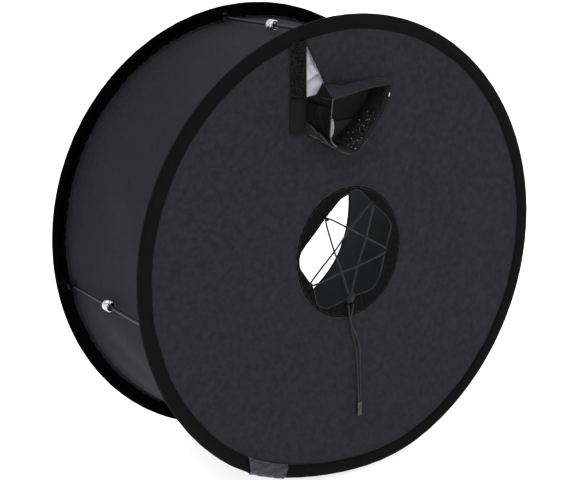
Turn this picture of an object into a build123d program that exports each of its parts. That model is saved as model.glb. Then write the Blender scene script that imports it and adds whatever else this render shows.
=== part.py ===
"""Collapsible ring-flash softbox: a drum of two sprung hoops joined by a fabric wall and four two-piece struts.

The drum's axis is Y. Its black rear panel, at low Y, carries the lens collar, the flash port and the laces, and its
white front panel, at high Y, carries the diffuser. Everything is drawn from the hoops' common axis and, when it is
written, lowered by collar_rise, so that the origin is the centre of the lens collar in the rear plane.
"""

from build123d import *
import os
from math import cos, hypot, pi, radians, sin, tan

# Driving dimensions, in millimetres and degrees
hoop_radius = 230.0  # outside of the rim casings
depth = 184.0  # outside of the rear rim to outside of the front rim
rim_thickness = 6.5  # of a rim casing, along the axis
rim_width = 14.0  # of a rim casing, along the radius
casing_cloth = 0.9  # thickness of the binding cloth
panel_cloth = 0.8  # thickness of the black and white panels
lining_cloth = 0.5  # thickness of the silver lining
wall_end_radius = 213.0  # outside of the side wall at either rim
wall_waist_radius = 209.5  # outside of the side wall half way along
wall_cloth = 0.8
collar_rise = 3.5  # the lens collar's centre stands above the hoops' axis
collar_radius = 63.0  # clear radius of the collar's hem
panel_hole_radius = 65.0
front_opening_radius = 129.0  # clear radius of the front hem
strut_radius = 218.0  # of the struts' centre lines about the axis
strut_angles = (99.5, 189.5, 279.5, 9.5)  # from +X towards +Z
sleeve_places = (84.0, 91.0, 91.0, 91.0)  # Y of the middle of each strut's joining sleeve
rear_rod_radius = 1.7
front_rod_radius = 1.4
sleeve_radius = 5.3
sleeve_length = 12.0
rear_pivot_y = 12.0
front_pivot_inset = 13.5  # of the front pivots, from the front rim's outside
pin_radius = 1.2
pin_clearance = 0.05  # running clearance of an eye on its pin
lace_radius = 0.9
weave = 1.1  # how far a lace rises or dips where it crosses another
lace_y = 0.4  # Y of the laces' middle plane
crossing_half_length = 4.0  # of a lace's level stretch at a crossing
lace_points = ((41.0, -93.0), (47.4, -6.0), (51.5, 60.5), (48.3, 129.0), (53.6, -152.0))  # radius, angle
splice_angle = -115.5  # where each hoop's ends meet, from +X towards +Z

# Sizes that follow from them
rim_inner_radius = hoop_radius - rim_width
rim_round = rim_thickness / 2
spring_radius = hoop_radius - rim_round
panel_edge_radius = 222.0
panel_y = 2.4  # rear face of the rear panel
lining_y = panel_y + panel_cloth
lining_front_y = lining_y + lining_cloth
diffuser_y = depth - panel_y - panel_cloth
wall_flange_y = 4.2
front_pivot_y = depth - front_pivot_inset


def write(name, shape):
    """Lowers a finished shape to the collar's centre and writes it as one named part."""
    placed = Pos(0, 0, -collar_rise) * shape
    export_step(placed, f"parts/{name}.step")


def group(*shapes):
    """Separate solids that share one part."""
    return Compound([solid for shape in shapes for solid in shape.solids()])


def about_axis(shape, angle):
    """Turns a shape about the drum's axis, from +X towards +Z."""
    return Rot(0, -angle, 0) * shape


def ring(inner, outer, low_y, high_y, sweep=360.0):
    """A flat ring about the drum's axis."""
    middle = Pos((inner + outer) / 2, (low_y + high_y) / 2)
    return revolve(middle * Rectangle(outer - inner, high_y - low_y), Axis.Y, sweep)


def plate(outline, low_y, high_y):
    """A sheet whose outline lies in X and Z."""
    return Pos(0, high_y, 0) * extrude(Plane.XZ * outline, amount=high_y - low_y)


def polygon(*points):
    """A face with straight edges through points of the sketch."""
    return make_face(Polyline(*points, close=True))


def on_collar(radius, angle):
    """X and Z of a point given by radius and angle about the lens collar's centre."""
    return radius * cos(radians(angle)), collar_rise + radius * sin(radians(angle))


# ---------------------------------------------------------------- rims and hoops


def rim_section(grow):
    """The outside of a rim casing in radius and Y, or that outside grown by some thickness."""
    straight = Pos((rim_inner_radius + spring_radius) / 2, rim_round) * Rectangle(
        rim_width - rim_round, rim_thickness + 2 * grow
    )
    return straight + Pos(spring_radius, rim_round) * Circle(rim_round + grow)


def rim_casing():
    """The binding tape, folded round the hoop with its two legs pointing inwards."""
    inside = rim_section(-casing_cloth)
    return revolve(rim_section(0) - inside, Axis.Y)


def hoop_spring():
    """A flat steel strip, bent into a hoop whose ends meet in the splice."""
    strip_thickness, strip_width, gap_angle = 1.0, 3.5, 0.3
    strip = Pos(spring_radius, rim_round) * Rectangle(strip_thickness, strip_width)
    hoop = revolve(strip, Axis.Y, 360 - gap_angle)
    return about_axis(hoop, splice_angle - gap_angle / 2)


def hoop_splice():
    """The crimped sleeve over the hoop's ends."""
    sweep = 8.0
    outside = Pos(spring_radius, rim_round) * Rectangle(1.8, 4.2)
    inside = Pos(spring_radius, rim_round) * Rectangle(1.0, 3.5)
    sleeve = revolve(outside - inside, Axis.Y, sweep)
    return about_axis(sleeve, splice_angle + sweep / 2)


def rim_patch():
    """A short wrap of smooth cloth round the rear rim, over the splice."""
    sweep, patch_cloth = 11.0, 0.8
    wrap = rim_section(patch_cloth) - rim_section(0)
    return about_axis(revolve(wrap, Axis.Y, sweep), splice_angle + sweep / 2)


def make_rims():
    to_front = Pos(0, depth - rim_thickness, 0)
    for name, shape in (
        ("hoop_spring", hoop_spring()),
        ("hoop_splice", hoop_splice()),
        ("rim_casing", rim_casing()),
    ):
        write(f"rear_{name}", shape)
        write(f"front_{name}", to_front * shape)
    write("rim_patch", rim_patch())


# ---------------------------------------------------------------- flash port

mouth_slope = 0.311  # how fast the port's mouth falls back to the panel, in Y per X
mouth_y = -15.4  # Y of the mouth's plane on the axis
port_inner_y = 22.0  # inner end of the port's sleeve
port_cloth = 1.2
leaf_y = port_inner_y - 3.0  # rear face of the two leaves that meet inside the sleeve
strap_end_y, strap_end_top = 0.0, 157.0  # rear face and upper edge of the strap's free end
port_corners = ((-47, 158.5), (-50, 125), (-22, 106), (-9, 106.5), (37, 149), (40, 163))
port_corner_radius = 5.0
slot_corners = ((-52.5, 205), (-52.5, 159.5), (-44, 160.5), (-32.5, 168))
strip_left, strip_right = -71.3, -53.2
strip_low, strip_high = 125.0, 208.5


def port_outline(grow):
    """The flash port's outline, grown or shrunk, with rounded corners."""
    corners = polygon(*port_corners)
    rounded = fillet(corners.vertices(), port_corner_radius)
    return offset(rounded, grow, kind=Kind.ARC) if grow else rounded


def behind_mouth(shape, inset=0.0):
    """Cuts away what stands further out than the port's slanting mouth, less an inset."""
    far = 120.0
    low = mouth_y + inset - mouth_slope * far
    high = mouth_y + inset + mouth_slope * far
    outside = polygon((-far, low), (far, high), (far, -far), (-far, -far))
    return shape - Pos(0, 0, 60) * extrude(outside, amount=160)


def port_tube(outer, inner, low_y, high_y):
    """A tube that follows the flash port's outline between two offsets of it."""
    return plate(port_outline(outer) - port_outline(inner), low_y, high_y)


def block(low, high):
    """A box from its lowest and highest corners."""
    size = [b - a for a, b in zip(low, high)]
    middle = [(a + b) / 2 for a, b in zip(low, high)]
    return Pos(*middle) * Box(*size)


def make_port():
    tube = behind_mouth(port_tube(0, -port_cloth, -60, port_inner_y))
    left_side = block((-60, -60, 90), (-43, 60, 180))
    write("port_gusset", tube & left_side)
    write("port_hood", tube - left_side)

    pile = behind_mouth(port_tube(-port_cloth, -port_cloth - 1.0, -60, 6.0), inset=1.0)
    lower_right = polygon((-30, 90), (70, 90), (70, 158), (38, 158), (-30, 122))
    write("port_loop_band", pile & plate(lower_right, -60, 60))

    strap = behind_mouth(port_tube(1.3, 0.1, -60, panel_y - 0.6), inset=1.0)
    strap_zone = polygon((-60, 137), (-44, 131), (-20, 112), (0, 112), (0, 90), (-60, 90))
    write("port_strap", strap & plate(strap_zone, -60, 60))

    leaves = plate(port_outline(-port_cloth), leaf_y, leaf_y + 1.0)
    gap = block((-60, 0, 131), (34, 40, 133))
    write("port_inner_leaves", leaves - gap)

    strip = plate(polygon(*rectangle(strip_left, strip_low, strip_right, strip_high)), 1.4, panel_y)
    write("port_hook_strip", strip)
    end_cloth = fillet(polygon(*rectangle(strip_left, strip_low, strip_right, strap_end_top)).vertices(), 1.5)
    write("port_strap_end", plate(end_cloth, strap_end_y, strap_end_y + 1.0))

    fold = polygon((-54, 6), (-34, 12), (-34, 12.8), (-54, 6.8))
    write("port_silver_fold", Pos(0, 0, 164) * extrude(fold, amount=37))


def rectangle(left, low, right, high):
    """The corners of a rectangle."""
    return (left, low), (right, low), (right, high), (left, high)


# ---------------------------------------------------------------- panels, wall and tunnel


def rear_sheet(low_y, high_y):
    """A disc with the lens hole, the flash port and the open slot beside its strip."""
    outline = Circle(panel_edge_radius) - Pos(0, collar_rise) * Circle(panel_hole_radius)
    return plate(outline - port_outline(0) - polygon(*slot_corners), low_y, high_y)


def wall_section(end_radius, waist_radius, cloth, flange):
    """A waisted sheet between the rims, with an optional flange sewn into each rim."""
    low, high, middle = wall_flange_y, depth - wall_flange_y, depth / 2
    outer = ThreePointArc((end_radius, low), (waist_radius, middle), (end_radius, high))
    inner = ThreePointArc((end_radius - cloth, low), (waist_radius - cloth, middle), (end_radius - cloth, high))
    ends = Line((end_radius, low), (end_radius - cloth, low)) + Line((end_radius, high), (end_radius - cloth, high))
    section = make_face(outer + inner + ends)
    if flange:
        for y in (low + cloth / 2, high - cloth / 2):
            start = end_radius - cloth / 2
            section += Pos((start + panel_edge_radius) / 2, y) * Rectangle(panel_edge_radius - start, cloth)
    return section


def cone(rear_radius, front_radius, low_y, high_y):
    """A solid cone from the lens collar to the front opening."""
    rear = Pos(0, low_y, collar_rise) * Rot(90, 0, 0) * Circle(rear_radius)
    front = Pos(0, high_y, 0) * Rot(90, 0, 0) * Circle(front_radius)
    return loft([rear, front], ruled=True)


def lens_tunnel():
    """The black cone of cloth between the lens collar and the front opening."""
    low_y, high_y, cloth = 4.6, depth - 4.4, 0.8
    outer = cone(66.2, 130.6, low_y, high_y)
    inner = cone(66.2 - cloth, 130.6 - cloth, low_y, high_y)
    return outer - inner


def hem(inner, outer, low_y, high_y, cloth):
    """Binding tape folded over the edge of a hole, between two faces."""
    whole = ring(inner, outer, low_y, high_y)
    return whole - ring(inner + cloth, outer + 1, low_y + cloth, high_y - cloth)


def make_panels():
    write("rear_panel", rear_sheet(panel_y, lining_y))
    write("rear_lining", rear_sheet(lining_y, lining_front_y))
    write("front_diffuser", ring(front_opening_radius + 1.5, panel_edge_radius, diffuser_y, depth - panel_y))
    write("front_opening_hem", hem(front_opening_radius, 134.5, diffuser_y - 0.8, depth - panel_y + 0.8, 0.8))
    write("side_wall", revolve(wall_section(wall_end_radius, wall_waist_radius, wall_cloth, True), Axis.Y))
    lining = wall_section(wall_end_radius - wall_cloth, wall_waist_radius - wall_cloth, lining_cloth, False)
    write("side_wall_lining", revolve(lining, Axis.Y))
    write("lens_tunnel", lens_tunnel())


# ---------------------------------------------------------------- lens collar and laces

ring_major, ring_minor = 2.0, 0.5
band_bulge_radius = 59.0  # of the collar band's free edge, between two laces
band_low_y, band_high_y = 2.0, 2.8


def collar_band():
    """The soft band inside the collar, drawn in to a point at each lace."""
    reach = [(r + 2.6 if angle != lace_points[0][1] else r + 7.0, angle) for r, angle in lace_points]
    edge = []
    for (r, angle), (next_r, next_angle) in zip(reach, reach[1:] + reach[:1]):
        turn = (next_angle - angle) % 360
        middle = on_collar(band_bulge_radius, angle + turn / 2)
        edge.append(ThreePointArc(on_collar(r, angle), middle, on_collar(next_r, next_angle)))
    free_edge = make_face(edge)
    return plate(Pos(0, collar_rise) * Circle(collar_radius) - free_edge, band_low_y, band_high_y)


def lace_ring(r, angle):
    """A small wire ring standing across the lace at one point of the collar."""
    x, z = on_collar(r, angle)
    upright = Rot(0, -angle, 0) * Torus(ring_major, ring_minor)
    return Pos(x, lace_y, z) * upright


def crossing(a, b, c, d):
    """Where the line from a to b meets the line from c to d."""
    (ax, az), (bx, bz), (cx, cz), (dx, dz) = a, b, c, d
    slope = (bx - ax) * (dz - cz) - (bz - az) * (dx - cx)
    share = ((cx - ax) * (dz - cz) - (cz - az) * (dx - cx)) / slope
    return ax + share * (bx - ax), az + share * (bz - az)


def star_route():
    """The lace's route: from the knot through each ring in turn, over and under itself, and back to the knot."""
    order = (0, 3, 1, 4, 2, 0)  # every second lace point
    points = [lace_points[i] for i in order]
    flat = [on_collar(r, angle) for r, angle in points]
    half_turn = 1.9  # half the width of the lace's turn in a ring
    x, z = flat[0]
    route = [(x - half_turn, lace_y, z)]
    for i in range(5):
        if i > 0:
            (r, angle), (_, last_angle) = points[i], points[i - 1]
            side = 1 if (last_angle - angle) % 360 < 180 else -1
            across = Vector(cos(radians(angle + 90)), sin(radians(angle + 90))) * half_turn * side
            ring_centre = Vector(*on_collar(r, angle))
            route += [(p.X, lace_y, p.Y) for p in (ring_centre + across, ring_centre - across)]
        route += crossings_of_chord(flat, i)
    return route + [(x + half_turn, lace_y, z)]


def crossings_of_chord(flat, i):
    """Four points of one chord of the star: a pair over the lace that it meets first, and a pair under the second."""
    start, end = flat[i], flat[(i + 1) % 5]
    met = [crossing(start, end, flat[(i + k) % 5], flat[(i + k + 1) % 5]) for k in (2, 3)]
    first, second = sorted(met, key=lambda p: hypot(p[0] - start[0], p[1] - start[1]))
    step = (Vector(*end) - Vector(*start)).normalized() * crossing_half_length
    points = []
    for (x, z), y in ((first, lace_y - weave), (second, lace_y + weave)):
        points += [(x - step.X, y, z - step.Y), (x + step.X, y, z + step.Y)]
    return points


def cord_tube(name, route, radius):
    """A round cord along straight runs joined by arcs as large as the runs allow; prints the arcs."""
    runs = [Vector(*b) - Vector(*a) for a, b in zip(route, route[1:])]
    radii = []
    for before, after in zip(runs, runs[1:]):
        turn = radians(before.get_angle(after))
        radii.append(0.45 * min(before.length, after.length) / tan(turn / 2))
    path = FilletPolyline(*route, radius=radii)
    start = Plane(origin=path @ 0, z_dir=path % 0)
    tube = sweep(start * Circle(radius), path=path)
    expected = pi * radius**2 * path.length
    print(f"{name}: length {path.length:.1f}, smallest arc {min(radii):.1f}, volume / expected {tube.volume / expected:.3f}")
    return tube


tail_a = ((-4.0, 0.0, -48.6), (-3.5, -0.6, -58.5), (-1.8, -1.2, -67.5), (2.2, -1.3, -76.5), (7.0, -1.0, -84.5),
          (9.9, -0.6, -94.5), (10.6, -0.3, -108.0), (11.0, -0.3, -122.0), (11.8, -0.3, -138.0), (12.0, -0.3, -152.0))
tail_b = ((1.6, 0.0, -48.6), (1.2, 0.4, -55.5), (-0.6, 0.9, -64.0), (0.2, 1.2, -74.0), (3.6, 0.9, -85.5),
          (6.6, 0.4, -98.0), (7.6, -0.1, -112.0), (8.2, -0.3, -126.0), (9.0, -0.3, -140.0), (9.9, -0.3, -152.0))


def make_collar():
    low_y, high_y = panel_y - 0.7, lining_front_y + 0.7
    collar_hem = hem(collar_radius, 68.0, low_y, high_y, 0.7)
    write("lens_collar_hem", Pos(0, 0, collar_rise) * collar_hem)
    write("lens_collar_band", collar_band())
    write("lace_rings", group(*[lace_ring(r, angle) for r, angle in lace_points[1:]]))
    write("star_lace", cord_tube("star_lace", star_route(), lace_radius))

    knot = fillet(Box(8.4, 5.0, 10.6).edges(), 1.8)
    write("lace_knot", Pos(-1.8, -0.8, -43.3) * knot)
    write("lace_tail_a", cord_tube("lace_tail_a", tail_a, lace_radius))
    write("lace_tail_b", cord_tube("lace_tail_b", tail_b, lace_radius))
    clamp = fillet(Box(5.4, 3.4, 14.5).edges().filter_by(Axis.Z), 1.2)
    write("tail_clamp", Pos(10.95, -0.3, -159.25) * clamp)


# ---------------------------------------------------------------- struts


def bracket(rim_face_y, pivot_y):
    """A moulded foot on a rim, with a lug that holds the pivot pin. Drawn at angle 0."""
    inward = 1 if pivot_y > rim_face_y else -1
    foot_thickness, lug_thickness, lug_half_width = 1.2, 2.0, 4.0
    foot_y = sorted((rim_face_y, rim_face_y + inward * foot_thickness))
    lug_y = sorted((rim_face_y, pivot_y))
    lug_low = strut_radius + 1.8
    foot = block((lug_low - 2.5, foot_y[0], -7), (226.0, foot_y[1], 7))
    lug = block((lug_low, lug_y[0], -lug_half_width), (lug_low + lug_thickness, lug_y[1], lug_half_width))
    nose = Pos(lug_low + lug_thickness / 2, pivot_y, 0) * Rot(0, 90, 0) * Cylinder(lug_half_width, lug_thickness)
    hole = Pos(strut_radius, pivot_y, 0) * Rot(0, 90, 0) * Cylinder(pin_radius, 30)
    return foot + lug + nose - hole


def pivot_pin(pivot_y):
    """A headed pin along the radius, through a rod's eye and its bracket. Drawn at angle 0."""
    inner, outer, head = strut_radius - 2.8, strut_radius + 4.8, 1.0
    shaft = Pos((inner + outer) / 2, 0, 0) * Rot(0, 90, 0) * Cylinder(pin_radius, outer - inner)
    ends = [Pos(x, 0, 0) * Rot(0, 90, 0) * Cylinder(2.2, head) for x in (inner + head / 2, outer - head / 2)]
    return Pos(0, pivot_y, 0) * (shaft + ends)


def rod(radius, pivot_y, end_y):
    """A straight rod with an eye at its pivot. Drawn at angle 0."""
    eye_radius, eye_thickness = 3.2, 2.6
    middle, length = (pivot_y + end_y) / 2, abs(end_y - pivot_y)
    stem = Pos(strut_radius, middle, 0) * Rot(90, 0, 0) * Cylinder(radius, length)
    at_pivot = Pos(strut_radius, pivot_y, 0) * Rot(0, 90, 0)
    eye = at_pivot * Cylinder(eye_radius, eye_thickness)
    inside_of_eye = at_pivot * Cylinder(eye_radius - 0.6, 12)
    hole = at_pivot * Cylinder(pin_radius + pin_clearance, 12)
    return (stem - inside_of_eye) + (eye - hole)


def sleeve(place):
    """The joining sleeve: fixed on the front rod, with a socket that is open along one side for the rear rod."""
    socket_radius, socket_depth = rear_rod_radius + 0.3, 7.8
    body = Rot(90, 0, 0) * Cylinder(sleeve_radius, sleeve_length)
    body = fillet(body.edges().filter_by(GeomType.CIRCLE), 1.6)
    rear_face, front_face = -sleeve_length / 2, sleeve_length / 2
    floor = rear_face + socket_depth
    socket = Pos(0, (rear_face + floor) / 2 - 0.5, 0) * Rot(90, 0, 0) * Cylinder(socket_radius, socket_depth + 1)
    side = block((-socket_radius, rear_face - 1, -10), (socket_radius, floor, 0))
    bore = Pos(0, front_face, 0) * Rot(90, 0, 0) * Cylinder(front_rod_radius, 2 * (sleeve_length - socket_depth) - 0.8)
    return Pos(strut_radius, place, 0) * (body - socket - side - bore)


def make_struts():
    rod_overlap = 3.5  # of the rear rod in the sleeve's socket
    rear_rim_face, front_rim_face = rim_thickness, depth - rim_thickness
    for number, (angle, place) in enumerate(zip(strut_angles, sleeve_places), start=1):
        rear_end = place - sleeve_length / 2 + rod_overlap
        front_end = place + sleeve_length / 2 - 3.8
        write(f"rear_bracket_{number}", about_axis(bracket(rear_rim_face, rear_pivot_y), angle))
        write(f"front_bracket_{number}", about_axis(bracket(front_rim_face, front_pivot_y), angle))
        write(f"rear_rod_{number}", about_axis(rod(rear_rod_radius, rear_pivot_y, rear_end), angle))
        write(f"front_rod_{number}", about_axis(rod(front_rod_radius, front_pivot_y, front_end), angle))
        write(f"strut_sleeve_{number}", about_axis(sleeve(place), angle))
    write("rear_pivot_pins", group(*[about_axis(pivot_pin(rear_pivot_y), angle) for angle in strut_angles]))
    write("front_pivot_pins", group(*[about_axis(pivot_pin(front_pivot_y), angle) for angle in strut_angles]))


os.makedirs("parts", exist_ok=True)
make_rims()
make_panels()
make_port()
make_collar()
make_struts()
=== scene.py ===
"""Looks of the collapsible ring-flash softbox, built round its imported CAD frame. Lengths are in metres."""

import math

import bmesh
import bpy
import numpy as np
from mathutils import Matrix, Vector, noise
from mathutils.geometry import delaunay_2d_cdt

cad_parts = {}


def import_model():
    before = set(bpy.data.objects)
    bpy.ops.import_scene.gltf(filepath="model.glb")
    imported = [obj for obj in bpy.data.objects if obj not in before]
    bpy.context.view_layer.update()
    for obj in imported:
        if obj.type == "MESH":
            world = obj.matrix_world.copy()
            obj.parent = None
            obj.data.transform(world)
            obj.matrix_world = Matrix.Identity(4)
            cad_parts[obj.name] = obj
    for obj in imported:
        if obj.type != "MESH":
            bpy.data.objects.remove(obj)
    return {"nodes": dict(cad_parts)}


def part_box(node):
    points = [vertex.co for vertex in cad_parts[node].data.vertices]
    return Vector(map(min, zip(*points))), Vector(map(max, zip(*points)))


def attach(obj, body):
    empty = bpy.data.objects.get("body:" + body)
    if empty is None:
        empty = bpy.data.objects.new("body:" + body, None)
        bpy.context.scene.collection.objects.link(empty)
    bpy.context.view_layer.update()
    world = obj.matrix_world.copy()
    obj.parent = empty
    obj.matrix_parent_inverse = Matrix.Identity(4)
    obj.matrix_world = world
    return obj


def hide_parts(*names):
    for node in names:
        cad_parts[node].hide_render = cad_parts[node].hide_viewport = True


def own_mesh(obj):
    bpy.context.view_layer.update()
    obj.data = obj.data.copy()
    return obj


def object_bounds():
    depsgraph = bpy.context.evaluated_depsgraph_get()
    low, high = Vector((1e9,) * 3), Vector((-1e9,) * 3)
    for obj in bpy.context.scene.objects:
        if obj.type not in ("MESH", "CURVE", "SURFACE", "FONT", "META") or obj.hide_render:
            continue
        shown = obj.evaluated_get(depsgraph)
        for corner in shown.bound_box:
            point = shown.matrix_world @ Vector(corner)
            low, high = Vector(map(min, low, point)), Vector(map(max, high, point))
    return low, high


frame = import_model()
cad_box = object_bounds()

MM = 0.001
TAU = 2 * math.pi

# ------------------------------------------------------------------ places, from the frame


def radius_of(node):
    """Half of a node's width across X."""
    low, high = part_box(node)
    return (high.x - low.x) / 2


rear_low, rear_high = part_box("rear_rim_casing")
HOOP_R = (rear_high.x - rear_low.x) / 2
HOOP_Z = (rear_high.z + rear_low.z) / 2
RIM_T = rear_high.y - rear_low.y
RIM_ROUND = RIM_T / 2
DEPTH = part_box("front_rim_casing")[1].y
COLLAR_R = radius_of("lens_collar_hem") - 5 * MM
PANEL_Y, PANEL_BACK_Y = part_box("rear_panel")[0].y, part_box("rear_panel")[1].y
LINING_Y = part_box("rear_lining")[1].y
DIFFUSER_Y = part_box("front_diffuser")[0].y
PANEL_R = radius_of("rear_panel")
OPENING_R = radius_of("front_opening_hem") - 5.5 * MM
WALL_END, WALL_STEPS = 4.2 * MM, 720  # how far inside the drum the wall is sewn on, and its points in a turn
CENTRE = np.array([0.0, 0.0, HOOP_Z])  # where the hoops' axis meets the rear plane


def from_hoop(points):
    """Points given in millimetres about the hoops' axis, as the flash port's outline is."""
    return [(x * MM, z * MM + HOOP_Z) for x, z in points]


# Corners of the flash port's cloth hood, anticlockwise from the top left, in millimetres about the hoops'
# axis: X and Z on the rim of its mouth, then X and Z where the cloth meets the panel.
HOOD = (
    ((-46.0, 159.2), (-33.0, 168.4)),
    ((-46.8, 156.8), (-39.3, 158.5)),
    ((-47.2, 154.0), (-50.8, 157.3)),
    ((-47.8, 149.0), (-53.2, 151.0)),
    ((-49.0, 137.0), (-53.4, 138.0)),
    ((-49.8, 126.5), (-53.2, 126.0)),
    ((-47.0, 119.5), (-46.5, 121.0)),
    ((-39.8, 114.5), (-39.8, 117.0)),
    ((-20.7, 106.2), (-21.0, 107.0)),
    ((-10.5, 106.0), (-10.0, 106.6)),
    ((-2.9, 111.0), (-1.0, 110.5)),
    ((13.6, 123.2), (16.0, 122.0)),
    ((31.7, 141.5), (35.0, 140.0)),
    ((37.2, 151.5), (42.0, 150.0)),
    ((39.6, 160.0), (45.0, 160.0)),
    ((38.6, 163.3), (43.0, 168.6)),
    ((18.0, 163.4), (25.4, 169.8)),
    ((3.2, 163.1), (8.0, 168.0)),
    ((-21.8, 161.1), (-14.0, 165.4)),
)
NYLON_END, TOP_START = 7, 15  # numbers of the corners where one cloth gives way to the next
SLOT_TOP = (-52.5, 205.0)
SLOT_RIGHT = HOOD[0][1]
MOUTH_Y, MOUTH_SLOPE = -15.4 * MM, 0.311
# About the collar's centre, in millimetres and degrees: the star's knot and its four rings, and the free edge
# of the soft band.
LACES = ((41.0, -93.0), (42.6, -6.0), (52.2, 62.5), (48.5, 129.6), (55.4, -152.9))
FREE_EDGE = (
    (46.5, -93), (49.8, -57), (47.0, -40), (42.4, -6), (53.5, 22), (51.6, 38), (52.2, 62.5), (55.5, 72),
    (61.0, 81), (61.0, 88), (57.2, 94), (55.8, 103), (48.5, 129.6), (49.6, 152), (55.8, 166), (60.2, 175),
    (60.4, -174), (54.0, -158), (52.4, -149), (53.2, -144), (61.5, -130), (60.0, -118),
)
COLLAR_NARROW, COLLAR_SHIFT = 0.945, -1.8 * MM  # the sewn collar is a little narrower than it is high
PATCH_SKEW = 3.3  # radians that the patch's left end slants for each metre across the rim
# The hoops as sewn aren't quite round: the rear one is flattened by its splice, and the front one is a little
# lower at its top and fuller at its lower left.
FLAT_SPOT, FLAT_HALF, FLAT_RISE = math.radians(-98), math.radians(32), 6.0 * MM
FRONT_SAG, FRONT_LEAN, FRONT_LEAN_AT = 1.5 * MM, 1.0 * MM, math.radians(-135)
PULL, PULL_AT, PULL_HALF = 5.3 * MM, math.radians(-50), math.radians(16)  # front opening's edge, inwards


def lift(x):
    """Y of the slanting plane of the flash port's mouth."""
    return MOUTH_Y + MOUTH_SLOPE * x


# ------------------------------------------------------------------ camera, lights and floor


def make_camera():
    data = bpy.data.cameras.new("camera")
    data.lens, data.sensor_width = 80.83, 36
    camera = bpy.data.objects.new("camera", data)
    camera.location = (-0.7209, -0.96555, 0.3348)
    camera.rotation_euler = (math.radians(75.0), 0, math.radians(-33.9))
    bpy.context.scene.collection.objects.link(camera)
    bpy.context.scene.camera = camera


def area_light(name, place, target, size, power):
    data = bpy.data.lights.new(name, "AREA")
    data.shape, data.size, data.energy = "DISK", size, power
    lamp = bpy.data.objects.new(name, data)
    lamp.location = place
    lamp.rotation_euler = (Vector(target) - Vector(place)).to_track_quat("-Z", "Y").to_euler()
    bpy.context.scene.collection.objects.link(lamp)


def make_studio():
    """Even white surroundings, two soft lights, and a pale floor that glows a little, as in a studio sweep."""
    world = bpy.data.worlds.new("studio")
    world.use_nodes = True
    world.node_tree.nodes["Background"].inputs["Color"].default_value = (1, 1, 1, 1)
    world.node_tree.nodes["Background"].inputs["Strength"].default_value = 1.0
    bpy.context.scene.world = world
    bpy.context.scene.view_settings.view_transform = "Standard"
    area_light("key", (-1.6, -1.9, 2.2), (0, 0.05, 0), 1.2, 34)
    area_light("top", (0.3, 0.1, 2.6), (0, 0.1, 0), 1.4, 8)
    floor_z, floor_half = cad_box[0].z - 1.5 * MM, 6.0
    corners = [(x, y, floor_z) for x, y in oblong(0, 0, floor_half, floor_half)]
    floor = mesh_object("floor", corners, [(0, 1, 2, 3)], finish("floor_paint", 0.75, 0.9, specular=0.0))
    shader = floor.data.materials[0].node_tree.nodes["Principled BSDF"]
    shader.inputs["Emission Color"].default_value = (1, 1, 1, 1)
    shader.inputs["Emission Strength"].default_value = 0.75


# ------------------------------------------------------------------ materials


def add(tree, kind, settings=None, **inputs):
    """A node with its settings; an input is a value or another node's output."""
    made = tree.nodes.new(kind)
    for key, value in (settings or {}).items():
        setattr(made, key, value)
    for key, value in inputs.items():
        socket = made.inputs[int(key[1:]) if key[0] == "i" and key[1:].isdigit() else key]
        if isinstance(value, bpy.types.NodeSocket):
            tree.links.new(value, socket)
        else:
            socket.default_value = value
    return made


def object_place(tree):
    return add(tree, "ShaderNodeTexCoord").outputs["Object"]


def finish(name, colour, rough, specular=0.2, metallic=0.0, sheen=0.0, detail=None, variation=0.0, grain=60):
    """A Principled material of a grey or a colour. detail(tree) returns a height for the bump and its strength
    in metres. variation is the share by which the colour wanders, at grain cycles a metre."""
    colour = np.broadcast_to(colour, 3)
    made = bpy.data.materials.new(name)
    made.use_nodes = True
    tree = made.node_tree
    shader = tree.nodes["Principled BSDF"]
    values = {"Base Color": (*colour, 1), "Roughness": rough, "Specular IOR Level": specular,
              "Metallic": metallic, "Sheen Weight": sheen, "Sheen Roughness": 0.4}
    for socket, value in values.items():
        shader.inputs[socket].default_value = value
    if variation:
        place = object_place(tree)
        cloud = add(tree, "ShaderNodeTexNoise", Vector=place, Scale=grain, Detail=5.0, Roughness=0.6)
        ramp = add(tree, "ShaderNodeValToRGB", i0=cloud.outputs["Fac"])
        for stop, place, share in zip(ramp.color_ramp.elements, (0.3, 0.7), (1 - variation, 1 + variation)):
            stop.color = (*[c * share for c in colour], 1)
            stop.position = place
        tree.links.new(ramp.outputs["Color"], shader.inputs["Base Color"])
        spread = add(tree, "ShaderNodeMapRange", i0=cloud.outputs["Fac"], i3=max(0.02, rough - 0.06),
                     i4=min(1, rough + 0.06))
        tree.links.new(spread.outputs[0], shader.inputs["Roughness"])
    if detail:
        height, depth = detail(tree)
        bump = add(tree, "ShaderNodeBump", Height=height, Strength=1.0, Distance=depth)
        tree.links.new(bump.outputs["Normal"], shader.inputs["Normal"])
    return made


def math_node(tree, operation, *values):
    inputs = {f"i{k}": value for k, value in enumerate(values)}
    return add(tree, "ShaderNodeMath", {"operation": operation}, **inputs).outputs[0]


def sine(tree, distance, pitch):
    """A wave along a distance, with that pitch."""
    return math_node(tree, "SINE", math_node(tree, "MULTIPLY", distance, TAU / pitch))


def cloth_coordinates(tree, wrap):
    """Two coordinates along the cloth in metres: X and Z on a flat sheet, or round the axis and along it."""
    place = add(tree, "ShaderNodeSeparateXYZ", Vector=object_place(tree)).outputs
    if not wrap:
        return place["X"], place["Z"]
    height = math_node(tree, "SUBTRACT", place["Z"], HOOP_Z)
    squares = [math_node(tree, "POWER", side, 2.0) for side in (height, place["X"])]
    reach = math_node(tree, "SQRT", math_node(tree, "ADD", *squares))
    angle = math_node(tree, "ARCTAN2", height, place["X"])
    return math_node(tree, "MULTIPLY", angle, HOOP_R), math_node(tree, "ADD", place["Y"], reach)


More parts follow.
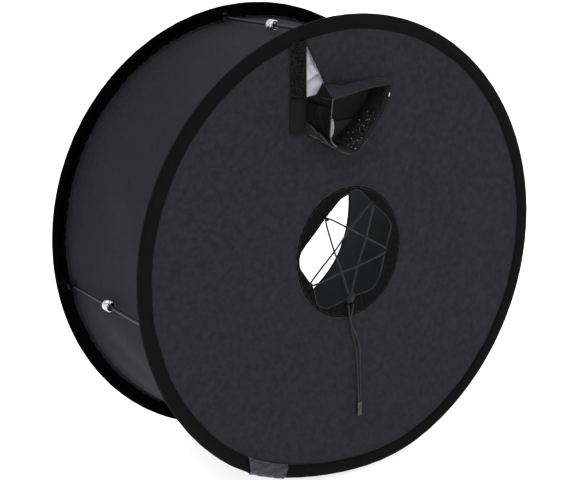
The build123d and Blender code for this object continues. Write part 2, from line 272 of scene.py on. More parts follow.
def weave(pitch, depth, wrap=False):
    """Plain weave: two sets of threads that rise and fall in turn, with some fuzz."""

    def build(tree):
        u, v = cloth_coordinates(tree, wrap)
        place = object_place(tree)
        fuzz = add(tree, "ShaderNodeTexNoise", Vector=place, Scale=0.35 / pitch, Detail=3.0).outputs["Fac"]
        threads = math_node(tree, "MULTIPLY", sine(tree, u, pitch), sine(tree, v, pitch))
        return math_node(tree, "ADD", threads, math_node(tree, "MULTIPLY", fuzz, 2.0)), depth

    return build


def rib(pitch, depth, wrap=False):
    """Ribbed tape: fine cords side by side, crossed by the weave that binds them."""

    def build(tree):
        u, v = cloth_coordinates(tree, wrap)
        bind = math_node(tree, "MULTIPLY", sine(tree, v, pitch * 0.5), 0.4)
        return math_node(tree, "ADD", sine(tree, u, pitch), bind), depth

    return build


def crumple(scale, depth):
    """Creases of a thin coated cloth."""

    def build(tree):
        place = object_place(tree)
        warp = add(tree, "ShaderNodeTexNoise", Vector=place, Scale=scale * 0.5, Detail=2.0).outputs["Fac"]
        edges = {"feature": "DISTANCE_TO_EDGE"}
        folds = add(tree, "ShaderNodeTexVoronoi", edges, Vector=place, Scale=scale).outputs["Distance"]
        return math_node(tree, "ADD", folds, warp), depth

    return build


def grains(scale, depth):
    """Small rounded grains: moulded plastic, hooks or pile, by their scale."""

    def build(tree):
        cells = add(tree, "ShaderNodeTexVoronoi", Vector=object_place(tree), Scale=scale)
        return math_node(tree, "SUBTRACT", 1.0, cells.outputs["Distance"]), depth

    return build


def streaks(scale, depth, stretch=(1.0, 0.08, 1.0), layers=4.0):
    """Noise drawn out along one axis: scratches of turned metal, or creases of a tightly wrapped tape."""

    def build(tree):
        place = add(tree, "ShaderNodeMapping", Vector=object_place(tree), Scale=stretch).outputs[0]
        return add(tree, "ShaderNodeTexNoise", Vector=place, Scale=scale, Detail=layers).outputs["Fac"], depth

    return build


def braid(pitch, depth):
    """Two sets of slanting strands over a round lace."""

    def build(tree):
        place = add(tree, "ShaderNodeSeparateXYZ", Vector=object_place(tree)).outputs
        slants = [math_node(tree, way, place["X"], place["Z"]) for way in ("ADD", "SUBTRACT")]
        return math_node(tree, "MAXIMUM", *[sine(tree, slant, pitch) for slant in slants]), depth

    return build


def make_finishes():
    """Every material by a short name. After its own name come colour, roughness and specular level."""
    tape_black = (0.0013, 0.0013, 0.0015)
    rim_rib, cloth_weave = rib(0.9 * MM, 0.08 * MM, wrap=True), (0.7 * MM, 0.05 * MM)
    scratches, webbing_rib = streaks(900, 0.02 * MM), rib(1.1 * MM, 0.2 * MM)
    creases = streaks(240, 2.2 * MM, stretch=(0.22, 1.0, 1.0), layers=5.0)
    return {
        # cloths
        "panel": finish("panel_cloth", (0.0143, 0.0137, 0.0179), 0.92, 0.12, sheen=0.03,
                        detail=weave(*cloth_weave), variation=0.32, grain=210),
        # painted shade: the wall is the panel's cloth painted darker, to even out the extra light the curved wall
        # catches from the lamps
        "wall": finish("wall_cloth", (0.0102, 0.0098, 0.0133), 0.92, 0.12, sheen=0.03,
                       detail=weave(*cloth_weave, wrap=True), variation=0.32, grain=210),
        "black": finish("tunnel_cloth", (0.0125, 0.0135, 0.0150), 0.95, 0.04,
                        detail=weave(0.6 * MM, 0.04 * MM, wrap=True), variation=0.1),
        "soft_black": finish("collar_cloth", (0.0034, 0.0034, 0.0037), 0.95, 0.05, sheen=0.02,
                             detail=weave(0.8 * MM, 0.06 * MM), variation=0.2, grain=90),
        "diffuser": finish("diffuser_cloth", (0.74, 0.74, 0.72), 0.8, 0.3, sheen=0.1,
                           detail=weave(0.5 * MM, 0.03 * MM), variation=0.02),
        "silver": finish("silver_cloth", (0.62, 0.61, 0.66), 0.38, 0.5, metallic=0.65,
                         detail=crumple(90, 0.5 * MM), variation=0.08),
        "silver_fold": finish("silver_fold_cloth", (0.49, 0.48, 0.54), 0.5, 0.5, metallic=0.3,
                              detail=crumple(70, 0.3 * MM), variation=0.05),
        "silver_edge": finish("silver_edge_cloth", (0.16, 0.16, 0.17), 0.5, 0.4,
                              detail=crumple(300, 0.3 * MM), variation=0.4, grain=500),
        # painted light: the hood's dark cloth is painted lighter than it is, and the leaf lighter still, standing
        # for light inside the port's recess
        "leaf": finish("leaf_cloth", (0.030, 0.030, 0.031), 0.95, 0.05,
                       detail=crumple(60, 0.3 * MM), variation=0.15),
        "hood": finish("hood_cloth", 0.018, 0.95, 0.05, detail=crumple(60, 0.5 * MM), variation=0.15),
        "nylon": finish("nylon_cloth", (0.0045, 0.0045, 0.005), 0.22, 0.6, detail=crumple(190, 0.5 * MM),
                        variation=0.2),
        "patch": finish("patch_cloth", (0.0080, 0.0074, 0.0160), 0.26, 0.36,
                        detail=creases, variation=0.5, grain=160),
        # tapes and cords
        "rear_tape": finish("rear_rim_tape", tape_black, 0.8, 0.08, detail=rim_rib, variation=0.2),
        # painted shade: the front rim's tape is the same tape as the rear's, painted darker to stand for the shade
        # on its face inside the drum
        "front_tape_painted_shade": finish("front_rim_tape", 0.0008, 0.85, 0.01, detail=rim_rib, variation=0.2),
        "webbing": finish("webbing", (0.0065, 0.0065, 0.0070), 0.8, 0.15, detail=webbing_rib, variation=0.2),
        "strap": finish("strap_webbing", (0.0105, 0.0105, 0.0110), 0.6, 0.35,
                        detail=webbing_rib, variation=0.4, grain=250),
        "hooks": finish("hook_tape", 0.0065, 0.7, 0.15,
                        detail=grains(900, 0.5 * MM), variation=0.3, grain=200),
        "pile": finish("loop_pile", 0.0035, 0.95, 0.05, sheen=0.02,
                       detail=grains(700, 0.8 * MM), variation=0.5, grain=300),
        "cord": finish("elastic_cord", (0.0100, 0.0100, 0.0108), 0.6, 0.3, sheen=0.05,
                       detail=braid(1.0 * MM, 0.12 * MM), variation=0.3, grain=700),
        "edge_cord": finish("edge_cord", (0.013, 0.013, 0.0135), 0.7, 0.25, sheen=0.05,
                            variation=0.9, grain=45),
        # threads, and a white for painted glints
        "pile_loop": finish("loop_pile_thread", 0.012, 0.6, 0.3, sheen=0.05, variation=0.95, grain=220),
        "tape_thread": finish("tape_thread", tape_black, 0.7, 0.1, variation=0.2, grain=900),
        "dark_thread": finish("dark_thread", 0.003, 0.8, 0.05, variation=0.2, grain=900),
        "thread": finish("thread", (0.020, 0.020, 0.022), 0.6, 0.3, variation=0.2, grain=900),
        # light thread for the collar's stitches; the row along the hem's nose is a painted highlight
        "light_thread": finish("light_thread", (0.027, 0.027, 0.028), 0.6, 0.3, variation=0.2, grain=900),
        "pale_thread": finish("pale_thread", (0.085, 0.085, 0.090), 0.5, 0.4, variation=0.5, grain=300),
        # painted glints: white specks on the loop pile and a short white tube on the mouth's rim stand for
        # sparkles of light
        "painted_glint_white": finish("painted_glint_white", (0.55, 0.55, 0.56), 0.5, 0.4, variation=0.1, grain=900),
        # metal, paint and plastic
        "rod": finish("strut_paint", (0.0045, 0.0045, 0.0058), 0.42, 0.2, detail=streaks(700, 0.03 * MM),
                      variation=0.1),
        "plastic": finish("bracket_plastic", 0.0009, 0.75, 0.03,
                          detail=grains(1500, 0.04 * MM), variation=0.1),
        "wire": finish("black_wire", 0.0012, 0.5, 0.08, detail=scratches, variation=0.1),
        "nickel": finish("sleeve_metal", (0.60, 0.61, 0.64), 0.22, 0.5, metallic=1.0, detail=scratches,
                         variation=0.05),
        "steel": finish("dark_steel", (0.035, 0.035, 0.037), 0.35, 0.5, metallic=1.0, detail=scratches,
                        variation=0.1),
        "spring": finish("spring_steel", (0.45, 0.46, 0.50), 0.3, 0.5, metallic=1.0,
                         detail=streaks(700, 0.02 * MM), variation=0.1),
        "clamp": finish("clamp_metal", (0.060, 0.060, 0.056), 0.16, 0.5, metallic=1.0, detail=scratches,
                        variation=0.5, grain=300),
    }


# ------------------------------------------------------------------ mesh helpers


def mesh_object(name, points, faces, material):
    """A smooth-shaded mesh object whose faces all look outwards."""
    mesh = bpy.data.meshes.new(name)
    mesh.from_pydata([tuple(map(float, p)) for p in points], [], faces)
    work = bmesh.new()
    work.from_mesh(mesh)
    bmesh.ops.recalc_face_normals(work, faces=work.faces)
    work.to_mesh(mesh)
    work.free()
    mesh.polygons.foreach_set("use_smooth", [True] * len(mesh.polygons))
    mesh.materials.append(material)
    made = bpy.data.objects.new(name, mesh)
    bpy.context.scene.collection.objects.link(made)
    return made


def grid(name, rows, material, wrap_rows=False, wrap_columns=False, caps=False):
    """A sheet, tube or ring of quads through an array of points; caps close a tube's two ends."""
    rows = np.asarray(rows, float)
    m, n, _ = rows.shape
    faces = []
    for i in range(m if wrap_rows else m - 1):
        for j in range(n if wrap_columns else n - 1):
            i2, j2 = (i + 1) % m, (j + 1) % n
            faces.append((i * n + j, i * n + j2, i2 * n + j2, i2 * n + j))
    if caps:
        faces += [tuple(range(n)), tuple(range((m - 1) * n, m * n))]
    return mesh_object(name, rows.reshape(-1, 3), faces, material)


def oblong(x, z, half_x, half_z):
    """The four corners of a rectangle about its middle."""
    left, right, low, high = x - half_x, x + half_x, z - half_z, z + half_z
    return [(left, low), (right, low), (right, high), (left, high)]


def spots(*places):
    """Points from arrays or numbers for each of their coordinates."""
    return np.stack(np.broadcast_arrays(*places), axis=-1)


def unit(vectors):
    """The same directions with a length of 1."""
    return vectors / np.linalg.norm(vectors, axis=-1, keepdims=True)


def directions(line, closed=False):
    """Unit directions along a line, at each of its points."""
    line = np.asarray(line, float)
    return unit(np.roll(line, -1, axis=0) - np.roll(line, 1, axis=0) if closed else np.gradient(line, axis=0))


def smoothed(line):
    """A closed line with every point drawn halfway to its neighbours."""
    return (np.roll(line, 1, axis=0) + 2 * line + np.roll(line, -1, axis=0)) / 4


def bell(distance, width):
    """A smooth hump: 1 at its middle and nearly 0 from twice its width."""
    return np.exp(-((distance / width) ** 2))


def tube_faces(start, rings, sides):
    """Quads of a tube whose rings of points follow one another from a starting number."""
    faces = []
    for i in range(rings - 1):
        for j in range(sides):
            a, b = start + i * sides + j, start + i * sides + (j + 1) % sides
            faces.append((a, b, b + sides, a + sides))
    return faces


def thicken(made, cloth, offset=-1.0):
    """Gives a sheet its thickness: behind its face, or with offset 0 to both sides of it."""
    thick = made.modifiers.new("cloth", "SOLIDIFY")
    thick.thickness, thick.offset = cloth, offset
    return made


def joined(name, objects):
    """Several meshes as one object of that name."""
    first = objects[0]
    with bpy.context.temp_override(active_object=first, selected_editable_objects=objects, object=first):
        bpy.ops.object.join()
    first.name = name
    return first


def ripple(turn, low, high, seed, terms=7):
    """A periodic wobble of about unit height with low to high whole waves in a turn."""
    pick = np.random.default_rng(seed)
    waves, starts = pick.integers(low, high + 1, terms), pick.uniform(0, TAU, terms)
    return sum(np.sin(k * turn + s) for k, s in zip(waves, starts)) / math.sqrt(terms / 2)


def ledge(distance, half_width):
    """1 within half_width of a seam's middle and 0 beyond it, with a short ramp."""
    return np.clip((half_width - np.abs(distance)) / (0.8 * MM) + 0.5, 0, 1)


def side_normals(line, closed):
    """Unit normals of a flat line, to the right of its direction."""
    along = directions(line, closed)
    return np.stack([along[:, 1], -along[:, 0]], axis=1)


def resampled(line, count, closed=False):
    """A line as points at even spacing."""
    line = np.asarray(line, float)
    if closed:
        line = np.vstack([line, line[:1]])
    reach = np.concatenate([[0], np.cumsum(np.linalg.norm(np.diff(line, axis=0), axis=1))])
    wanted = np.linspace(0, reach[-1], count, endpoint=not closed)
    return np.stack([np.interp(wanted, reach, line[:, k]) for k in range(line.shape[1])], axis=1)


def folded(outline, cloth):
    """A closed section of cloth that thick, from the open line of its outside. It lies on the line's left."""
    outline = np.asarray(outline, float)
    return np.vstack([outline, (outline - cloth * side_normals(outline, False))[::-1]])


def turned(name, section, material, steps, centre=CENTRE, middle=0.0, sweep=TAU, wobble=None):
    """A section of radius and Y carried round an axis along Y. wobble(turn, section) changes radius and Y."""
    section = np.asarray(section, float)
    whole = sweep >= TAU
    turn = (middle - sweep / 2 + sweep * np.arange(steps + (0 if whole else 1)) / steps)[:, None]
    reach, y = (np.repeat(section[None, :, k], len(turn), axis=0) for k in (0, 1))
    if wobble:
        more_reach, more_y = wobble(turn, section[None, :, :])
        reach, y = reach + more_reach, y + more_y
    rows = spots(centre[0] + reach * np.cos(turn), y, centre[2] + reach * np.sin(turn))
    return grid(name, rows, material, wrap_rows=whole, wrap_columns=True, caps=not whole)


def stitched(name, line, outward, material, pitch=3.0 * MM, radius=0.22 * MM, closed=False):
    """A row of arched stitches along a line. outward is the cloth's normal at each of the line's points."""
    line = np.asarray(line, float)
    outward = np.broadcast_to(np.asarray(outward, float), line.shape)
    around = np.vstack([line, line[:1]]) if closed else line
    length = np.linalg.norm(np.diff(around, axis=0), axis=1).sum()
    both = resampled(np.hstack([line, outward]), max(2, int(length / pitch)), closed)
    places, normals = both[:, :3], unit(both[:, 3:])
    along = directions(places, closed)
    along = unit(along - normals * (along * normals).sum(axis=1)[:, None])
    across = np.cross(along, normals)
    stations = np.array([-0.5, -0.42, -0.2, 0.2, 0.42, 0.5]) * pitch * 0.8
    rises = np.array([-1.1, -0.1, 0.75, 0.75, -0.1, -1.1]) * radius
    sides = 6
    points, faces = [], []
    for x, rise in zip(stations, rises):
        for turn in TAU * np.arange(sides) / sides:
            out, aside = rise + radius * math.sin(turn), radius * math.cos(turn)
            points.append(places + along * x + normals * out + across * aside)
    each = len(stations) * sides
    points = np.stack(points, axis=1).reshape(-1, 3)
    for start in range(0, len(places) * each, each):
        faces += tube_faces(start, len(stations), sides)
        faces += [tuple(range(start, start + sides)), tuple(range(start + each - sides, start + each))]
    return mesh_object(name, points, faces, material)


def stitch_circle(name, reach, y, outward_y, material, centre=CENTRE, **more):
    turn = np.linspace(0, TAU, 720, endpoint=False)
    line = spots(centre[0] + reach * np.cos(turn), y, centre[2] + reach * np.sin(turn))
    return stitched(name, line, (0, outward_y, 0), material, closed=True, **more)


def circle(reach, count, centre=(0.0, 0.0)):
    turn = TAU * np.arange(count) / count
    return spots(centre[0] + reach * np.cos(turn), centre[1] + reach * np.sin(turn))


def inside(loop, points):
    """Which points lie in a closed outline."""
    loop, points = np.asarray(loop), np.asarray(points)
    hit = np.zeros(len(points), bool)
    for (x1, z1), (x2, z2) in zip(loop, np.roll(loop, -1, axis=0)):
        crosses = (z1 > points[:, 1]) != (z2 > points[:, 1])
        hit ^= crosses & (points[:, 0] < (x2 - x1) * (points[:, 1] - z1) / (z2 - z1 + 1e-15) + x1)
    return hit


def flat_sheet(name, edge, holes, spacing, relief, material, cloth):
    """A sheet across Y with holes, whose Y is relief(x, z) and which is that thick towards the front."""
    loops = [np.asarray(loop) for loop in (edge, *holes)]

    def covered(places):
        return inside(loops[0], places) & ~np.any([inside(hole, places) for hole in loops[1:]], axis=0)

    low, high = loops[0].min(axis=0), loops[0].max(axis=0)
    rows = np.arange(low[1], high[1], spacing * math.sqrt(0.75))
    x, z = np.meshgrid(np.arange(low[0], high[0], spacing), rows)
    x = x + (np.arange(len(rows)) % 2)[:, None] * spacing / 2
    free = spots(x.ravel(), z.ravel())
    free = free[covered(free)]
    for loop in loops:
        gap = np.linalg.norm(free[:, None, :] - loop[None, :, :], axis=2).min(axis=1)
        free = free[gap > spacing * 0.55]
    edges, start = [], len(free)
    for loop in loops:
        edges += [(start + i, start + (i + 1) % len(loop)) for i in range(len(loop))]
        start += len(loop)
    flat = [Vector(p) for p in np.vstack([free, *loops])]
    places, _, faces, *_ = delaunay_2d_cdt(flat, edges, [], 0, 1e-7)
    places = np.array([tuple(p) for p in places])
    good = covered(np.array([places[list(f)].mean(axis=0) for f in faces]))
    x, z = places.T
    kept = [tuple(f) for f, ok in zip(faces, good) if ok]
    made = mesh_object(name, spots(x, relief(x, z), z), kept, material)
    polygons = made.data.polygons
    if np.mean([polygons[i].normal.y for i in range(0, len(polygons), 50)]) > 0:
        made.data.flip_normals()
    return thicken(made, cloth)


def settle(made):
    """Moves a soft piece with the hoops where they aren't round: flatter behind, lower and fuller in front."""
    mesh = made.data
    places = np.empty(len(mesh.vertices) * 3)
    mesh.vertices.foreach_get("co", places)
    places = places.reshape(-1, 3)
    turn = np.arctan2(places[:, 2] - HOOP_Z, places[:, 0])
    reach = np.hypot(places[:, 0], places[:, 2] - HOOP_Z)
    near = np.cos(np.clip((turn - FLAT_SPOT) / FLAT_HALF, -1, 1) * math.pi / 2) ** 2
    outer = np.clip((reach - 120 * MM) / (100 * MM), 0, 1)
    behind = np.clip(1 - places[:, 1] / DEPTH, 0, 1)
    sag = FRONT_SAG * (1 - behind) * (0.5 + 0.5 * np.sin(turn))
    lean = FRONT_LEAN * (1 - behind) * bell(turn - FRONT_LEAN_AT, 0.5)
    places[:, 0] += lean * outer * np.cos(turn)
    places[:, 2] += (FLAT_RISE * near * behind - sag + lean * np.sin(turn)) * outer
    mesh.vertices.foreach_set("co", places.ravel())
    mesh.update()
    return made


def narrowed(made):
    """Brings a round collar piece to the sewn collar's real width."""
    for vertex in made.data.vertices:
        vertex.co.x = vertex.co.x * COLLAR_NARROW + COLLAR_SHIFT
    return made


def on_body(made, body, *nodes, slot=None):
    """Puts a finished piece on its body in place of its CAD nodes."""
    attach(made, body)
    if nodes:
        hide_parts(*nodes)
    return made


# ------------------------------------------------------------------ outlines of the flash port


def rounded(corners, radius, spacing=1.2 * MM):
    """A closed outline with its corners rounded, as evenly spaced points that run with the corners."""
    corners = np.asarray(corners, float)
    line = []
    for before, corner, after in zip(np.roll(corners, 1, axis=0), corners, np.roll(corners, -1, axis=0)):
        a, b = unit(before - corner), unit(after - corner)
        half = math.acos(np.clip(a @ b, -1, 1)) / 2
        reach = radius / math.tan(half)
        middle = corner + unit(a + b) * radius / math.sin(half)
        first, last = corner + a * reach - middle, corner + b * reach - middle
        for share in np.linspace(0, 1, 9):
            line.append(middle + unit(first * (1 - share) + last * share) * radius)
    length = np.linalg.norm(np.diff(np.vstack([line, line[:1]]), axis=0), axis=1).sum()
    return resampled(line, int(length / spacing), closed=True)


def run_of(mask):
    """Places of the one unbroken run of a closed line's points where mask holds."""
    start = np.flatnonzero(mask & ~np.roll(mask, 1))[0]
    order = (start + np.arange(len(mask))) % len(mask)
    return order[: int(np.argmin(mask[order]))]


def hood_loop():
    """The hood's corners joined into smooth loops: mouth X and Z, base X and Z, and the corner's number."""
    corners = [from_hoop((mouth, base)) for mouth, base in HOOD]
    line = np.array([(*mouth, *base, number * MM) for number, (mouth, base) in enumerate(corners)])
    line = resampled(np.vstack([line, [*line[0, :4], len(HOOD) * MM]]), 401)[:-1]
    line[:, 4] /= MM
    soft = ((line[:, 4] > 6.5) & (line[:, 4] < 13.5))[:, None]
    for step in range(28):
        smooth = smoothed(line[:, :4])
        line[:, :4] = np.where(soft | (step < 3), smooth, line[:, :4])
    return line


HOOD_LOOP = hood_loop()
BASE_LINE = HOOD_LOOP[:, 2:4]


def panel_opening():
    """The panel's one opening for the hood and the slot beside its strip."""
    kept = HOOD_LOOP[:, 4] >= 3
    base = (BASE_LINE - side_normals(BASE_LINE, True) * 1.2 * MM)[kept]
    (top,), (right,) = from_hoop([SLOT_TOP]), from_hoop([SLOT_RIGHT])
    return resampled(np.vstack([[top], [(top[0], base[0][1])], base[:-6], [right]]), 330, closed=True)


# ------------------------------------------------------------------ laces (made right after the camera)


def on_collar(reach, angle):
    """X and Z, in metres, of a point given by millimetres and degrees about the collar's centre."""
    turn = math.radians(angle)
    return np.array([reach * math.cos(turn), reach * math.sin(turn)]) * MM


def crossing(a, b, c, d):
    """Where the line from a to b meets the line from c to d."""
    along, other = b - a, d - c
    share = ((c - a)[0] * other[1] - (c - a)[1] * other[0]) / (along[0] * other[1] - along[1] * other[0])
    return a + share * along


def star_route():
    """From the knot through each ring in turn, over and under itself, and back to the knot."""
    lace_y, half_turn, weave_y, level = 0.4 * MM, 1.9 * MM, 0.95 * MM, 4.0 * MM
    order = (0, 3, 1, 4, 2, 0)
    flat = [on_collar(*LACES[i]) for i in order]
    ways_in, ways_out = [], [flat[0] - (half_turn, 0)]
    for i in range(1, 5):
        angle, last_angle = LACES[order[i]][1], LACES[order[i - 1]][1]
        side = 1 if (last_angle - angle) % 360 < 180 else -1
        across = on_collar(1 / MM, angle + 90) * half_turn * side
        ways_in.append(flat[i] + across)
        ways_out.append(flat[i] - across)
    ways_in.append(flat[0] + (half_turn, 0))
    legs = list(zip(ways_out, ways_in))
    route = []
    for i, (start, end) in enumerate(legs):
        met = [crossing(start, end, *legs[(i + k) % 5]) for k in (2, 3)]
        met.sort(key=lambda p: np.linalg.norm(p - start))
        step = unit(end - start) * level
        route.append((start[0], lace_y, start[1]))
        for place, y in zip(met, (lace_y - weave_y, lace_y + weave_y)):
            route += [(p[0], y, p[1]) for p in (place - step, place + step)]
        route.append((end[0], lace_y, end[1]))
    return route


def about_hoop(points):
    """Points in millimetres about the hoops' axis as points in metres."""
    return [(x * MM, y * MM, z * MM + HOOP_Z) for x, y, z in points]


TAIL_A = about_hoop((
    (-4.0, 0.0, -48.6), (-3.5, -0.6, -58.5), (-1.8, -1.2, -67.5), (2.2, -1.3, -76.5), (7.0, -1.0, -84.5),
    (9.9, -0.6, -94.5), (10.6, -0.3, -108.0), (11.0, -0.3, -122.0), (11.8, -0.3, -138.0),
    (12.0, -0.3, -152.0),
))
TAIL_B = about_hoop((
    (1.6, 0.0, -48.6), (1.2, 0.4, -55.5), (-0.6, 0.9, -64.0), (0.2, 1.2, -74.0), (3.6, 0.9, -85.5),
    (6.6, 0.4, -98.0), (7.6, -0.1, -112.0), (8.2, -0.3, -126.0), (9.0, -0.3, -140.0), (9.9, -0.3, -152.0),
))
LACE_RADIUS = 0.9 * MM


def lace(name, route, material):
    """A round elastic lace along its route."""
    data = bpy.data.curves.new(name, "CURVE")
    data.dimensions = "3D"
    spline = data.splines.new("NURBS")
    spline.points.add(len(route) - 1)
    for point, place in zip(spline.points, route):
        point.co = (*place, 1)
    spline.order_u = 3
    spline.use_endpoint_u = True
    spline.resolution_u = 10
    data.bevel_depth, data.bevel_resolution = LACE_RADIUS, 4
    data.use_fill_caps = True
    data.materials.append(material)
    made = bpy.data.objects.new(name, data)
    bpy.context.scene.collection.objects.link(made)
    return on_body(made, "root", name.replace("_cord", ""), slot="elastic_cord")


def winding(material):
    """The knot: four turns of lace wound across the two tails, over a bight that runs along them."""
    low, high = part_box("lace_knot")
    low.z, high.z = low.z + 1.5 * MM, high.z + 1.5 * MM
    middle, half = (low + high) / 2, (high - low) / 2
    turn = np.linspace(0, 4.25 * TAU, 260)
    share = turn / turn[-1]
    swell = 1.08 - 0.2 * np.abs(2 * share - 1) ** 2
    x = (half.x - LACE_RADIUS) * swell * np.cos(turn) + 0.3 * MM * np.sin(turn * 0.37)
    height = high.z - 2.2 * MM - share * (2 * half.z - 4.4 * MM)
    wound = spots(middle.x + x, middle.y + (half.y - LACE_RADIUS) * swell * np.sin(turn),
                  height + 0.42 * x + 0.4 * MM * np.cos(turn + 0.6))
    rise = np.linspace(0, 1, 60)
    arch = np.sin(rise * math.pi)
    bight = spots(middle.x + 1.9 * MM * np.cos(rise * math.pi * 1.02), middle.y - 0.2 * MM,
                  low.z + 1.0 * MM + (2 * half.z - 2.2 * MM) * arch)
    over = spots(middle.x - 3.4 * MM + 6.6 * MM * rise, middle.y - half.y + 0.7 * MM - 0.5 * MM * arch,
                 middle.z - 2.6 * MM + 4.6 * MM * rise + 0.8 * MM * np.sin(rise * TAU))
    parts = [tube("strand", line, LACE_RADIUS * 0.95, material) for line in (wound, bight, over)]
    return on_body(joined("lace_knot_winding", parts), "root", "lace_knot", slot="elastic_cord")


def tube(name, line, radius, material, sides=10, caps=True):
    """A round tube along a line of points."""
    along = directions(line)
    across = np.cross(along[0], (0.3, 0.5, 0.81))
    turn = TAU * np.arange(sides)[:, None] / sides
    rows = []
    for place, direction in zip(np.asarray(line, float), along):
        across = unit(across - direction * (across @ direction))
        rows.append(place + radius * (np.cos(turn) * across + np.sin(turn) * np.cross(direction, across)))
    return grid(name, rows, material, wrap_columns=True, caps=caps)


def clamp(material):
    """The crimped metal end on both tails: a rolled tube, flattened, with a seam and two bite marks."""
    low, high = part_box("tail_clamp")
    middle, half = (low + high) / 2, (high - low) / 2
    turn = TAU * np.arange(48) / 48
    bulge = 2.4  # power of the section's outline: 2 is an ellipse, and more is squarer
    square = (np.abs(np.cos(turn)) ** bulge + np.abs(np.sin(turn)) ** bulge) ** (-1 / bulge)
    seam = 0.45 * MM * bell(turn - 1.5 * math.pi, 0.16)
    rows = []
    for share in np.linspace(0, 1, 41):
        bite = sum(bell(share - spot, 0.07) for spot in (0.32, 0.66))
        lip = min(1.0, 0.86 + 3.2 * min(share, 1 - share))
        x = half.x * lip * square * 0.98 * np.cos(turn)
        y = (half.y * lip * (1 - 0.16 * bite) * square - seam) * np.sin(turn)
        rows.append(spots(middle.x + x, middle.y + y, high.z - share * (high.z - low.z)))
    made = grid("tail_clamp_shell", rows, material, wrap_columns=True, caps=True)
    return on_body(made, "root", "tail_clamp", slot="clamp_metal")


def make_laces(f):
    star = lace("star_lace_cord", star_route(), f["cord"])
    knot = winding(f["cord"])
    tail_a = lace("lace_tail_a_cord", TAIL_A, f["cord"])
    tail_b = lace("lace_tail_b_cord", TAIL_B, f["cord"])
    end = clamp(f["clamp"])
    star_route()[0]


# ------------------------------------------------------------------ rims


def rim_outline():
    """Radius and Y of the rear rim's binding tape outside, from its rear leg round to its front leg."""
    leg = ((216.1, 1.65), (217.3, 1.2), (219.4, 0.75), (221.8, 0.3), (224.4, 0.04), (226.0, 0.0))
    leg = np.array(leg) * MM
    bend = np.linspace(-math.pi / 2, math.pi / 2, 15)
    crown = spots(HOOP_R - RIM_ROUND + RIM_ROUND * np.cos(bend), RIM_ROUND + RIM_ROUND * np.sin(bend))
    back = leg[::-1] * (1, -1) + (0, RIM_T)
    return resampled(np.vstack([leg, crown, back]), 44)


def rim_wobble(seed, middle_y):
    """Small unevenness of a sewn tape: slow waves, and puckers that die out towards the hoop."""

    def change(turn, section):
        loose = np.clip((222 * MM - section[:, :, 0]) / (6 * MM), 0, 1)
        side = np.sign(middle_y - section[:, :, 1])
        slow = 0.22 * MM * ripple(turn, 9, 34, seed)
        puckers = 0.16 * MM * ripple(turn, 90, 210, seed + 1) * loose
        return slow * loose + 0.05 * MM * ripple(turn, 40, 90, seed + 2), -side * puckers

    return change


def make_rim(f, name, flip, material, thread, body, seed):
    """The binding tape of a rim with its two rows of stitches, and the spring hoop and its splice inside."""
    outline, faces = rim_outline(), (0.9 * MM, RIM_T - 0.9 * MM)
    middle_r, middle_y = HOOP_R - RIM_ROUND, DEPTH - RIM_ROUND if flip else RIM_ROUND
    if flip:
        outline = (outline * (1, -1) + (0, DEPTH))[::-1]
        faces = tuple(DEPTH - y for y in faces)
    tape = turned(name + "_rim_tape", folded(outline, 0.9 * MM), material, 720,
                  wobble=rim_wobble(seed, middle_y))
    on_body(settle(tape), body, name + "_rim_casing", slot="rim_tape")
    for k, y in enumerate(faces):
        outward = -1 if (k == 0) != flip else 1
        row = stitch_circle(f"{name}_rim_stitches_{k + 1}", 218.6 * MM, y, outward, thread, pitch=3.2 * MM)
        on_body(settle(row), body)
    # part, half its section across and along, middle and sweep in degrees, steps and finish
    strips = (
        ("spring", 0.5, 1.75, 64.5, 359.4, 360, "spring"),
        ("splice", 0.9, 2.1, -115.5, 8.0, 16, "steel"),
    )
    for part, half_r, half_y, middle, sweep, steps, look in strips:
        section = rounded(oblong(middle_r, middle_y, half_r * MM, half_y * MM), 0.25 * MM, 0.4 * MM)
        strip = turned(f"{name}_{part}_strip", section, f[look], steps, middle=math.radians(middle),
                       sweep=math.radians(sweep))
        on_body(settle(strip), body, f"{name}_hoop_{part}", slot="spring_steel")


def make_patch(f):
    """The smooth, wrinkled cloth wrapped round the rear rim over the splice, with a turned edge at each end."""
    middle, sweep = math.radians(-116.1), math.radians(12.2)

    def change(turn, section):
        share = (turn - middle) / sweep + 0.5
        reach, level = section[:, :, 0], section[:, :, 1] - RIM_ROUND
        across = reach / HOOP_R * 90 + section[:, :, 1] * 800
        ends = bell(np.minimum(share, 1 - share), 0.05) * 0.35 * MM
        folds = 0.40 * MM * np.sin(across * 1.7 + 4 * share) * np.sin(3 * math.pi * share + across * 0.6)
        folds += 0.30 * MM * np.sin(3.1 * across - 6 * share + 2 * np.sin(5 * share))
        side = np.where(np.abs(level) < 2.9 * MM, 0, np.sign(level))
        outer = reach > HOOP_R - RIM_ROUND
        return np.where(outer, folds + ends, 0.3 * folds), side * (folds + ends + 0.25 * MM)

    outline = rim_outline()
    outline = np.vstack([outline[:1] - (0.8 * MM, 0), outline, outline[-1:] - (0.8 * MM, 0)])
    outline = outline + 0.75 * MM * side_normals(outline, False)
    wrap = turned("rim_patch_wrap", folded(outline, 0.7 * MM), f["patch"], 90, middle=middle, sweep=sweep,
                  wobble=change)
    for vertex in wrap.data.vertices:
        x, z = vertex.co.x, vertex.co.z - HOOP_Z
        reach, turn = math.hypot(x, z), math.atan2(z, x)
        turn += PATCH_SKEW * (reach - 222 * MM) * min(1.0, max(0.0, (middle - turn) / sweep * 2))
        vertex.co.x, vertex.co.z = reach * math.cos(turn), HOOP_Z + reach * math.sin(turn)
    return on_body(settle(wrap), "root", "rim_patch", slot="patch_cloth")


# ------------------------------------------------------------------ panels, walls and tunnel


def cloud(x, z, size, seed):
    """Smooth noise of about unit height over a flat sheet."""
    return np.array([noise.noise(Vector((a / size, seed * 7.3, b / size))) for a, b in zip(x, z)]) * 1.6


